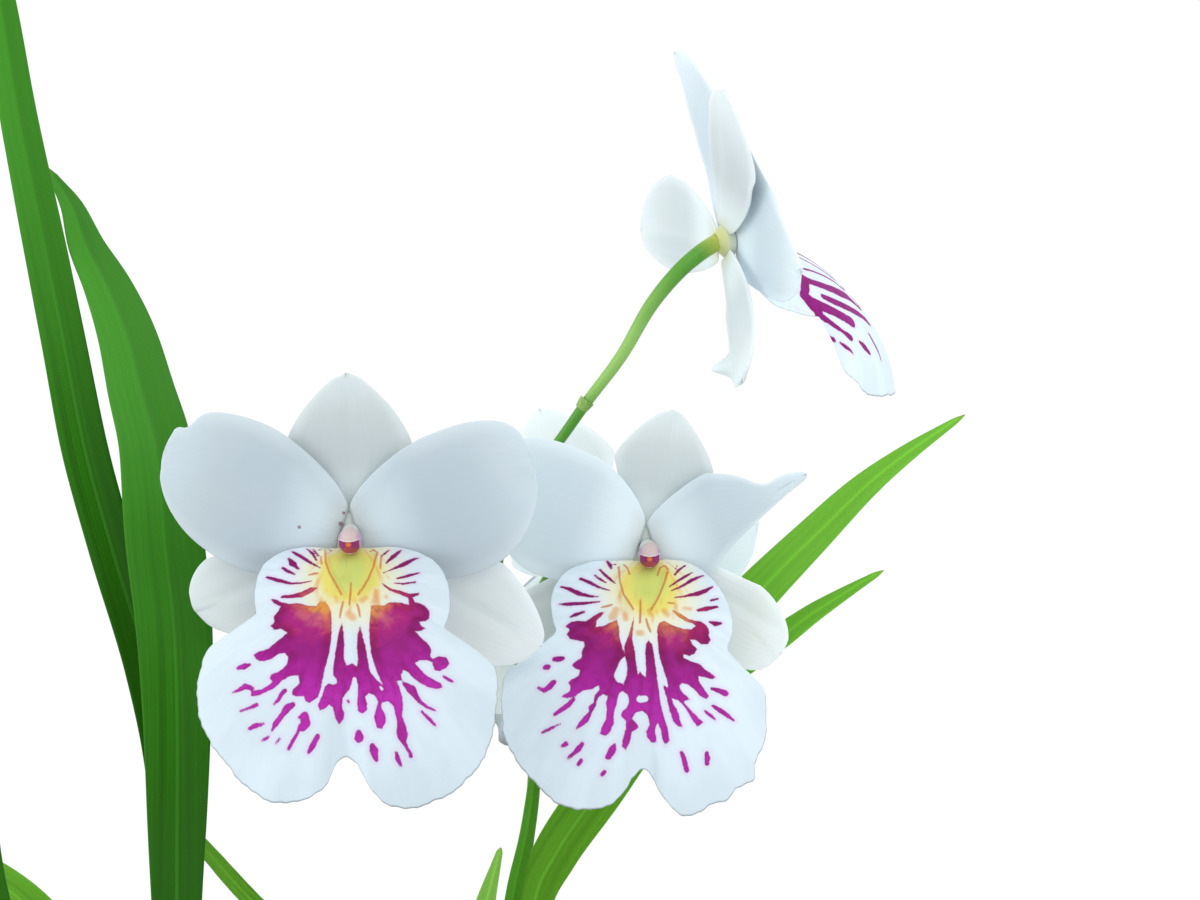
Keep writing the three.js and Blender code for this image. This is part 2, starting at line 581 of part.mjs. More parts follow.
// ---- Leaves ----------------------------------------------------------------------------------
function leafGeometry(leaf) {
  const curve = new THREE.CatmullRomCurve3(leaf.path.map((p) => V(...p)), false, 'centripetal');
  const widthRows = leaf.widths.map((w, i) => [i / (leaf.widths.length - 1), w]);
  const faceFoot = V(...leaf.face[0]);
  const faceTip = V(...leaf.face[1]);
  const fold = radians(leaf.fold);
  const front = [];
  const back = [];
  for (let r = 0; r <= LEAF_ROWS; r += 1) {
    const t = r / LEAF_ROWS;
    const centre = curve.getPointAt(t);
    const along = curve.getTangentAt(t);
    const face = faceFoot.clone().lerp(faceTip, t);
    const across = along.clone().cross(face).normalize();
    const up = across.clone().cross(along).normalize();
    const half = smoothThrough(widthRows, t);
    const row = [];
    for (let c = 0; c <= LEAF_COLUMNS; c += 1) {
      const v = (2 * c) / LEAF_COLUMNS - 1;
      row.push(centre.clone()
        .addScaledVector(across, v * half * Math.cos(fold))
        .addScaledVector(up, Math.abs(v) * half * Math.sin(fold)));
    }
    front.push(row.map((p) => p.clone().addScaledVector(up, LEAF_THICKNESS / 2)));
    back.push(row.map((p) => p.clone().addScaledVector(up, -LEAF_THICKNESS / 2)));
  }
  return sheetGeometry(front, back);
}

/** The socket a leaf or stem stands in: a plain hole along its first stretch. */
function socketFor(path, halfWidth, depth) {
  const foot = V(...path[0]);
  const next = V(...path[1]);
  const along = next.clone().sub(foot).normalize();
  const start = foot.clone().addScaledVector(along, SOCKET_START);
  const end = foot.clone().addScaledVector(along, depth);
  return pin(start, end, halfWidth + SOCKET_GAP * 2);
}

// ---- Blooms ----------------------------------------------------------------------------------
/** The flower's own frame: x to its right, y up its back sepal, z out of its face. */
function bloomMatrix(bloom) {
  const matrix = new THREE.Matrix4();
  matrix.makeRotationZ(radians(bloom.yaw));
  matrix.multiply(new THREE.Matrix4().makeRotationX(Math.PI / 2 + radians(bloom.nod)));
  matrix.multiply(new THREE.Matrix4().makeRotationZ(radians(bloom.roll)));
  matrix.scale(V(bloom.size, bloom.size, bloom.size));
  matrix.setPosition(...bloom.at);
  return matrix;
}

/** Unit normals of a grid of points, from its neighbours. */
function gridNormals(grid) {
  return grid.map((row, r) => row.map((point, c) => {
    const alongRow = grid[r][Math.min(c + 1, row.length - 1)].clone().sub(grid[r][Math.max(c - 1, 0)]);
    const down = grid[Math.min(r + 1, grid.length - 1)][c].clone().sub(grid[Math.max(r - 1, 0)][c]);
    return alongRow.cross(down).normalize();
  }));
}

/** Half width of one side of a tepal at a distance along it. */
function halfWidth([wide, at, fullBelow, fullAbove], along, tepal) {
  const above = along > at;
  const end = above ? tepal.length : tepal.start;
  const least = above ? TEPAL_TIP : TEPAL_FOOT;
  const full = above ? fullAbove : fullBelow;
  const share = Math.min(1, (along - at) / (end - at));
  return least + (wide - least) * (1 - share ** full) ** (1 / full);
}

function tepalGeometry(tepal) {
  const turn = radians(tepal.turn);
  const along = [Math.cos(turn), Math.sin(turn)];
  const side = [-along[1], along[0]];
  const level = tepal.sepal ? SEPAL_LEVEL : PETAL_LEVEL;
  const reflex = tepal.reflex ?? (tepal.sepal ? SEPAL_REFLEX : PETAL_REFLEX);
  const middle = [];
  for (let r = 0; r <= TEPAL_ROWS; r += 1) {
    const t = Math.sin((r / TEPAL_ROWS) * Math.PI * 0.5);
    const share = TEPAL_ROW_EVEN * (r / TEPAL_ROWS) + (1 - TEPAL_ROW_EVEN) * t;
    const a = tepal.start + (tepal.length - tepal.start) * share;
    const middleLine = tepal.sway * share * share;
    const left = middleLine + halfWidth(tepal.left, a, tepal);
    const right = middleLine - halfWidth(tepal.right, a, tepal);
    const row = [];
    for (let c = 0; c <= TEPAL_COLUMNS; c += 1) {
      const s = right + (left - right) * (c / TEPAL_COLUMNS);
      const x = tepal.from[0] + along[0] * a + side[0] * s;
      const y = tepal.from[1] + along[1] * a + side[1] * s;
      row.push(V(x, y, level - reflex * (x * x + y * y)));
    }
    middle.push(row);
  }
  const normals = gridNormals(middle);
  const half = TEPAL_THICKNESS / 2;
  const offset = (sign) => middle.map((row, r) => row.map(
    (p, c) => p.clone().addScaledVector(normals[r][c], sign * half),
  ));
  return sheetGeometry(offset(1), offset(-1));
}

/** A point on the lip: `x` across it and `q` along its arched middle line. */
function lipPoint(x, q, lip) {
  const first = radians(lip.tilt[0]);
  const bend = (radians(lip.tilt[1]) - first) / LIP_LENGTH;
  const slope = first + bend * q;
  const off = (x / CALLUS_WIDTH) ** 2 + ((q - CALLUS_LENGTH) / CALLUS_LENGTH) ** 2;
  const callus = CALLUS_HEIGHT * Math.exp(-off);
  const rise = callus - lip.arch * x * x;
  return V(
    x,
    LIP_START_Y - (Math.cos(first) - Math.cos(slope)) / bend + rise * Math.cos(slope),
    LIP_START_Z + (Math.sin(slope) - Math.sin(first)) / bend + rise * Math.sin(slope),
  );
}

/** Where a point of the view falls on a bloom's lip: across it, and down its middle line. */
function onLip([across, down], bloom) {
  const matrix = bloomMatrix(bloom);
  const miss = (x, q) => {
    const p = lipPoint(x, q, bloom.lip).applyMatrix4(matrix);
    const depth = (p.y - VIEW_FROM.y) / VIEW_FOCAL;
    const u = VIEW_WIDTH / 2 + (p.x - VIEW_FROM.x) / depth;
    const v = VIEW_HEIGHT / 2 - (p.z - VIEW_FROM.z) / depth;
    return { u: u - across, v: v - down };
  };
  let x = 0;
  let q = LIP_CENTRE;
  for (let i = 0; i < VIEW_STEPS; i += 1) {
    const off = miss(x, q);
    const byX = miss(x + VIEW_NUDGE, q);
    const byQ = miss(x, q + VIEW_NUDGE);
    const xu = (byX.u - off.u) / VIEW_NUDGE;
    const xv = (byX.v - off.v) / VIEW_NUDGE;
    const qu = (byQ.u - off.u) / VIEW_NUDGE;
    const qv = (byQ.v - off.v) / VIEW_NUDGE;
    const area = xu * qv - qu * xv;
    const moveX = (off.v * qu - off.u * qv) / area;
    const moveQ = (off.u * xv - off.v * xu) / area;
    const ease = Math.min(1, VIEW_STRIDE / Math.max(Math.hypot(moveX, moveQ), VIEW_NUDGE));
    x += moveX * ease;
    q += moveQ * ease;
  }
  return [x, q];
}

/** A lip's margin round its centre, in order of angle: [angle, reach] rows. */
function lipMargin(readings, bloom) {
  const rows = readings.map((reading) => {
    const [x, q] = onLip(reading, bloom);
    return [Math.atan2(x, q - LIP_CENTRE), Math.hypot(x, q - LIP_CENTRE)];
  });
  return rows.sort((a, b) => a[0] - b[0]);
}

function lipGeometry(lip, reach) {
  const spokes = reach.length;
  const around = (offset) => {
    const points = [];
    const at = (x, q) => {
      const p = lipPoint(x, q, lip);
      const down = lipPoint(x, q + LIP_NORMAL_STEP, lip).sub(p);
      const normal = down.cross(lipPoint(x + LIP_NORMAL_STEP, q, lip).sub(p)).normalize();
      return p.addScaledVector(normal, offset);
    };
    points.push(at(0, LIP_CENTRE));
    LIP_RINGS.forEach((share) => {
      reach.forEach(([a, r]) => {
        points.push(at(Math.sin(a) * r * share, LIP_CENTRE + Math.cos(a) * r * share));
      });
    });
    return points;
  };
  const upper = around(LIP_THICKNESS / 2);
  const lower = around(-LIP_THICKNESS / 2);
  const n = upper.length;
  const triangles = [];
  const both = (a, b, c) => triangles.push([a, b, c], [n + a, n + c, n + b]);
  for (let s = 0; s < spokes; s += 1) {
    const next = (s + 1) % spokes;
    both(0, 1 + s, 1 + next);
    for (let k = 1; k < LIP_RINGS.length; k += 1) {
      const inner = 1 + (k - 1) * spokes;
      const outer = 1 + k * spokes;
      both(inner + s, outer + s, outer + next);
      both(inner + s, outer + next, inner + next);
    }
    const rim = 1 + (LIP_RINGS.length - 1) * spokes;
    triangles.push([rim + s, n + rim + s, rim + next], [rim + next, n + rim + s, n + rim + next]);
  }
  const root = V(0, LIP_START_Y, LIP_START_Z);
  const geometry = geometryFrom([...upper, ...lower], triangles);
  geometry.translate(-root.x, -root.y, -root.z);
  geometry.scale(lip.size, lip.size, lip.size);
  geometry.translate(root.x, root.y, root.z);
  return geometry;
}

function columnGeometry() {
  const length = COLUMN_FRONT - COLUMN_BACK;
  const post = new THREE.CylinderGeometry(COLUMN_RADIUS, COLUMN_RADIUS, length, COLUMN_SIDES);
  post.rotateX(Math.PI / 2);
  post.translate(0, 0, (COLUMN_FRONT + COLUMN_BACK) / 2);
  const hood = new THREE.SphereGeometry(0.5, HOOD_SIDES, HOOD_RINGS);
  hood.rotateX(Math.PI / 2);
  hood.scale(HOOD_WIDTH, HOOD_HEIGHT, HOOD_LENGTH);
  hood.rotateX(radians(-HOOD_DROOP));
  hood.translate(0, HOOD_RISE, HOOD_START + HOOD_LENGTH / 2);
  return fromManifold(toManifold(post).add(toManifold(hood)));
}

// ---- Flower stem -----------------------------------------------------------------------------
function bractGeometry(bract) {
  const root = V(...bract.at);
  const lean = V(bract.lean, BRACT_FORWARD, 1).normalize();
  const path = [BRACT_ROOT, bract.length / 2, bract.length].map(
    (reach) => root.clone().addScaledVector(lean, reach).toArray(),
  );
  return rodGeometry(path, BRACT_RADII, BRACT_STEPS, STEM_SIDES);
}

function stemGeometry(blooms) {
  const behind = (name, z) => V(0, 0, z).applyMatrix4(bloomMatrix(blooms[name])).toArray();
  const mainPath = [...STEM_PATH, behind('top_bloom', STALK_STRAIGHT), behind('top_bloom', STALK_START)];
  const radii = [STEM_RADIUS_BASE, STEM_RADIUS_BASE, STEM_RADIUS_MIDDLE, STEM_RADIUS_TOP,
    STEM_RADIUS_MIDDLE, STALK_RADIUS_FLOWER];
  let stem = toManifold(rodGeometry(mainPath, radii, STEM_STEPS, STEM_SIDES));
  Object.entries(blooms).forEach(([name, bloom]) => {
    if (!bloom.stalk) return;
    const path = [behind(name, STALK_START), behind(name, STALK_STRAIGHT), ...bloom.stalk];
    const thin = [STALK_RADIUS_FLOWER, STALK_RADIUS_FLOWER, STALK_RADIUS_STEM, STALK_RADIUS_STEM];
    stem = stem.add(toManifold(rodGeometry(path, thin, STALK_STEPS, STEM_SIDES)));
  });
  NODE_BRACTS.forEach((bract) => {
    stem = stem.add(toManifold(bractGeometry(bract)));
  });
  return fromManifold(stem);
}

// ---- Assembly --------------------------------------------------------------------------------
function addPart(group, name, geometry, color, roughness) {
  const material = new THREE.MeshStandardMaterial({ color, roughness, metalness: 0 });
  const mesh = new THREE.Mesh(geometry, material);
  mesh.name = name;
  group.add(mesh);
}

export default (() => {
  const plant = new THREE.Group();
  plant.name = 'pansy_orchid';

  const depthFrom = (path) => BARK_LEVEL - path[0][2] + SOCKET_DEPTH;
  const barkSockets = [socketFor(STEM_PATH, STEM_RADIUS_BASE, depthFrom(STEM_PATH))];
  const bulbSockets = PSEUDOBULBS.map(() => []);
  LEAVES.forEach((leaf) => {
    const foot = leaf.foot.split(' ');
    if (foot[0] === 'bark') {
      barkSockets.push(socketFor(leaf.path, leaf.widths[1], depthFrom(leaf.path)));
    } else {
      const halfWidth = leaf.widths[0] + CROWN_SOCKET_EXTRA;
      bulbSockets[Number(foot[1])].push(socketFor(leaf.path, halfWidth, CROWN_SOCKET_DEPTH));
    }
  });
  PSEUDOBULBS.forEach((bulb) => {
    const matrix = bulbMatrix(bulb);
    const low = V(0, 0, -BULB_SOCKET_BELOW).applyMatrix4(matrix);
    const high = V(0, 0, BULB_LIFT + BARK_DOME).applyMatrix4(matrix);
    barkSockets.push(pin(low, high, BULB_FOOT_RADIUS + SOCKET_GAP * 2));
  });

  addPart(plant, 'pot', potGeometry(), TERRACOTTA, 0.9);
  addPart(plant, 'bark', barkGeometry(barkSockets), BARK_BROWN, 0.95);
  PSEUDOBULBS.forEach((bulb, i) => {
    addPart(plant, `pseudobulb_${i + 1}`, bulbGeometry(bulb, bulbSockets[i]), BULB_GREEN, 0.5);
  });
  LEAVES.forEach((leaf) => addPart(plant, leaf.name, leafGeometry(leaf), leaf.tint, 0.45));
  addPart(plant, 'flower_stem', stemGeometry(BLOOMS), STEM_GREEN, 0.5);

  const margins = {
    left: lipMargin(LEFT_LIP_VIEW, BLOOMS.left_bloom),
    right: lipMargin(RIGHT_LIP_VIEW, BLOOMS.right_bloom),
  };
  Object.entries(BLOOMS).forEach(([name, bloom]) => {
    const matrix = bloomMatrix(bloom);
    Object.entries(bloom.form).forEach(([organ, tepal]) => {
      const geometry = tepalGeometry(tepal).applyMatrix4(matrix);
      addPart(plant, `${name}_${organ}`, geometry, tepal.sepal ? SEPAL_CREAM : TEPAL_WHITE, 0.6);
    });
    const lip = lipGeometry(bloom.lip, margins[bloom.lip.margin]).applyMatrix4(matrix);
    addPart(plant, `${name}_lip`, lip, LIP_MAGENTA, 0.6);
    addPart(plant, `${name}_column`, columnGeometry().applyMatrix4(matrix), COLUMN_PINK, 0.5);
  });
  return plant;
})();
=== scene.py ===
"""Pansy orchid in its pot: the fine pieces, finishes, floor and light that go over the solid frame.

Sizes are millimetres, except in the views of the lips. The plant stands on its pot at the origin, +Z up,
and its blooms face -Y.
"""

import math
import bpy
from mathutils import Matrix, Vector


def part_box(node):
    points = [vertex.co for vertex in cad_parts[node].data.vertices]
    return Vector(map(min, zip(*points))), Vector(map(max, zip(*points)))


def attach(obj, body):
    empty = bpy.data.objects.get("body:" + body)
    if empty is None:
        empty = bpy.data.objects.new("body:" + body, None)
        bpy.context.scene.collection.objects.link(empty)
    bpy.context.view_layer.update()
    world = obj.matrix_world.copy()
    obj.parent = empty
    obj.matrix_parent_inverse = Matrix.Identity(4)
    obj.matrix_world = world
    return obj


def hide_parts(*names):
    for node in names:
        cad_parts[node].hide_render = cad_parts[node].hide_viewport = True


bl_info = {
    "name": "Pansy Orchid",
    "version": (1, 0, 0),
    "blender": (4, 5, 0),
    "location": "3D View > Sidebar > Orchid",
    "description": "Builds a potted pansy orchid: marked lips, thin petals, strap leaves, bark and pot",
    "category": "Add Mesh",
}

import bpy
import numpy as np
from mathutils import Euler, Matrix, Vector

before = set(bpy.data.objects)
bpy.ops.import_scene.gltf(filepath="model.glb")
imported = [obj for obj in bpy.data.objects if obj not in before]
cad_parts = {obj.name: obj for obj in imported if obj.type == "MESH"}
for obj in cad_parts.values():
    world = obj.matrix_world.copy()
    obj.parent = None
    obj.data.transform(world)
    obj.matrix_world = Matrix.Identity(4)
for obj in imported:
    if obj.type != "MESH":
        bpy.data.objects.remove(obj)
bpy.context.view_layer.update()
POT_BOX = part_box("pot")

MM = 0.001


def srgb(*levels):
    """The scene-linear colour of everyday 0-255 values."""
    return tuple(v / 255 / 12.92 if v < 10.3 else ((v / 255 + 0.055) / 1.055) ** 2.4 for v in levels)


# ---- Sizes in millimetres ----
POT_BASE_RADIUS = 44.0
POT_COLLAR_DEPTH = 18.0
POT_COLLAR_STEP = 3.0
POT_WALL = 4.0
POT_FLOOR = 6.0
DRAIN_RADIUS = 4.0
DRAIN_RING_RADIUS = 22.0
DRAIN_COUNT = 4
BARK_LEVEL = 93.0
BARK_DOME = 3.0
BARK_BED = BARK_LEVEL - 2
BARK_CLEARANCE, CHIP_CLEARANCE = 0.8, 4.0
GOLDEN_ANGLE = 2.39996
BULB_LIFT = 5.0
BULB_FOOT_RADIUS, BULB_FOOT_LOW, BULB_FOOT_HIGH = 4.0, -12.0, 3.0
BULB_RIBS, BULB_FINE_RIBS = 9, 17
PAPER_THICKNESS = 0.12
SEPAL_LEVEL, SEPAL_REFLEX = -2.0, 0.002
PETAL_LEVEL, PETAL_REFLEX = 0.0, 0.0012
PETAL_START, PETAL_FOOT, SEPAL_FOOT = 0.5, 4.5, 2.5
TEPAL_TIP, TEPAL_ROW_EVEN = 0.7, 0.35
LIP_START = (0.0, -3.1, 2.1)
LIP_LENGTH = 52.0
LIP_CENTRE = 8.5
CALLUS_HEIGHT, CALLUS_WIDTH, CALLUS_LENGTH = 1.1, 4.6, 5.5
CALLUS_ASIDE, CALLUS_DOWN, CALLUS_TINT_WIDTH = 0.7, 7.2, 5.9
OCHRE_ASIDE, OCHRE_DOWN, MAGENTA_TONE = 4.6, 14, 22.0
LIP_WAVES, FRILL_WAVES, SCALLOP_WAVES = (8.5, 13, 21), (2.3, 3.7), (7.1,)
TEPAL_WAVES, LEAF_WAVES, LEAF_WAVE_HEIGHT = (9.5, 15, 23), (37, 61, 23), 0.35
CREASE_DEPTH, CREASE_WIDTH = 0.3, 1.3
VALLEY_DEPTH, VALLEY_ASIDE, VALLEY_WIDTH, VALLEY_TOP, VALLEY_FULL = 0.9, 1.2, 2.4, 22, 40
KEEL_HEIGHT, KEEL_SOFTNESS, FOLD_HEIGHT, FOLDS = 0.45, 0.35, 0.03, 44
COLUMN_RADIUS, COLUMN_BACK, COLUMN_FRONT = 1.6, -0.8, 2.4
CUP_ROUNDING, POST_ROUNDING, POT_ROUNDING, POT_BEVEL = 0.5, 0.3, 1.6, 0.4
HOOD_LENGTH, HOOD_WIDTH, HOOD_HEIGHT = 9.0, 4.4, 5.0
HOOD_ASIDE, HOOD_RISE, HOOD_START, HOOD_DROOP = 0.6, -0.3, 1.0, math.radians(10)
STALK_START, STALK_STRAIGHT = -3.2, -5.4
# The cup where petals, sepals and column meet: radius and how far out of the face, from back to front.
CUP_PROFILE = [(0, -3.7), (1.8, -3.7), (2.2, -3.0), (3.3, -2.0), (3.4, -0.5), (0, -0.5)]

# ---- Camera and its view ----
CAMERA_PLACE = (46.6, -585.0, 233.7)
CAMERA_LENS, CAMERA_SENSOR = 90.0, 36.0
CAMERA_NEAR, CAMERA_FAR = 10.0, 20000.0
VIEW_WIDTH, VIEW_HEIGHT = 1200, 900
VIEW_FOCAL = CAMERA_LENS / CAMERA_SENSOR * VIEW_WIDTH

# ---- Lights: place and width in millimetres ----
LIGHT_AIM = (10, 0, 210)
KEY_LIGHT_PLACE, KEY_LIGHT_WIDTH = (240, -560, 760), 420
SIDE_LIGHT_PLACE, SIDE_LIGHT_WIDTH, SIDE_LIGHT_COLOUR = (-620, -260, 380), 380, (0.95, 0.98, 1)

# ---- Colours that stay as they are ----
PETAL_BASE, PETAL_CREAM, SEPAL_CREAM = srgb(200, 208, 200), srgb(204, 214, 220), srgb(208, 214, 204)
FRECKLE, HOOD_RIM = srgb(138, 84, 104), srgb(226, 208, 214)
RAY_RUST, RAY_CLARET = srgb(186, 92, 78), srgb(154, 26, 86)
LEAF_FOOT, LEAF_END, BULB_CROWN = srgb(166, 184, 96), srgb(140, 130, 60), srgb(158, 186, 84)

# ---- Flower forms ----
def tepal(base, turn, start, length, sway, left, right, light=1.0, **more):
    """The sizes of a petal or sepal.

    It grows out from `base` at `turn` degrees, from `start` to `length` along it, and `sway` carries its tip
    sideways. Each side, anticlockwise and clockwise, has its greatest half width, where along the piece that
    falls, and how full the edge is below and above it: 1 straight, 2 round. `light` is painted light and
    shade that makes the piece paler or deeper.
    """
    sizes = dict(base=base, turn=turn, start=start, length=length, sway=sway, left=left, right=right)
    return {**sizes, "light": light, **more}


# Each `light` below is painted light and shade: it makes that petal or sepal paler or deeper.
LEFT_FORM = {
    "dorsal_sepal": tepal((0, 0), 90, 2.4, 29.8, 0, (11.5, 17, 1.15, 1.3), (12, 16.5, 1.15, 1.3), light=0.78),
    "left_petal": tepal(
        (-1, -0.5), 162, 1.8, 37, -4, (14, 19, 2, 2), (14.5, 19, 1.5, 2.2),
        light=0.8, notch=(-1, 34, 2, 1.5)),
    "right_petal": tepal((1, -0.5), 17, 1.8, 36.5, 4, (13, 17.5, 1.5, 2.4), (16, 22, 1.7, 2), light=0.81),
    "left_lateral_sepal": tepal((-1.5, -2), 208, 0, 33, 0, (11.5, 18.5, 1.2, 1.8), (8, 25, 1, 1.7)),
    "right_lateral_sepal": tepal(
        (1.5, -2), -34, 0, 42, 0, (10.5, 26, 1, 1.4), (11.5, 22, 1.3, 2), light=1.16),
}
RIGHT_FORM = {
    "dorsal_sepal": tepal(
        (0, 0), 80, 2.4, 27.5, -0.5, (9.5, 16.5, 1.1, 1.3), (10.5, 16.5, 1, 1.25), light=0.9),
    "left_petal": tepal((-1, -0.5), 163, 1.8, 33, -7, (14, 21, 1.6, 1.9), (14, 13, 1.5, 2.2), light=1.12),
    "right_petal": tepal(
        (1, -0.5), 18, 1.8, 34, 4.5, (10.5, 15, 1.5, 1), (10, 10, 1.8, 0.72),
        light=0.97, notch=(1, 25, 2.2, 3.5)),
    "left_lateral_sepal": tepal((-1.5, -2), 208, 0, 32, 6, (9.5, 18, 1.25, 2), (6.5, 24, 0.85, 1.5)),
    "right_lateral_sepal": tepal(
        (1.5, -2), -34, 0, 34.5, -4, (7.5, 22, 0.9, 2), (9.5, 23, 1.2, 2.2), light=1.34),
}
TOP_FORM = {
    "dorsal_sepal": tepal(
        (0, 0), 82, 2.4, 31, 0, (15, 18, 1.3, 1.5), (8, 20, 1.2, 1.8), reflex=0.0025, light=0.98),
    "left_petal": tepal((-1, -0.5), 157, 1.8, 33.5, 0, (8, 19, 1.6, 2), (20.5, 9, 1.6, 1.05), light=1.06),
    "right_petal": tepal((1, -0.5), 35, 1.8, 40, 2, (13, 19, 1.3, 1.5), (2.5, 19, 1.1, 1.3), light=1.06),
    "left_lateral_sepal": tepal(
        (-1.8, -2.1), 212, 0, 28, -2.3, (6, 21, 1.2, 2), (12, 21, 1.2, 2.1),
        reflex=0.006, hook=(21.4, 3.8, 1.6), light=1.05),
    "right_lateral_sepal": tepal(
        (1.8, -2.1), -25, 0, 34, 0, (12.5, 19, 1.4, 1.8), (7, 18, 1.5, 1.8), light=1.02),
}
# Small marks on the left bloom: how far right, how high, and the radius.
FRECKLES = [(-10.4, 219.1, 0.45), (-1.9, 221.8, 0.4), (-2.5, 219.7, 0.6)]
# The rear bloom: the right one's form with the left one's back sepal, turns of its own, and painted light
# that makes all its pieces paler.
REAR_TURNS = {"dorsal_sepal": 72, "left_petal": 182, "right_petal": 34, "right_lateral_sepal": -50}
REAR_FORM = {
    organ: {**sizes, "turn": REAR_TURNS.get(organ, sizes["turn"]), "light": 1.22}
    for organ, sizes in {**RIGHT_FORM, "dorsal_sepal": LEFT_FORM["dorsal_sepal"]}.items()
}

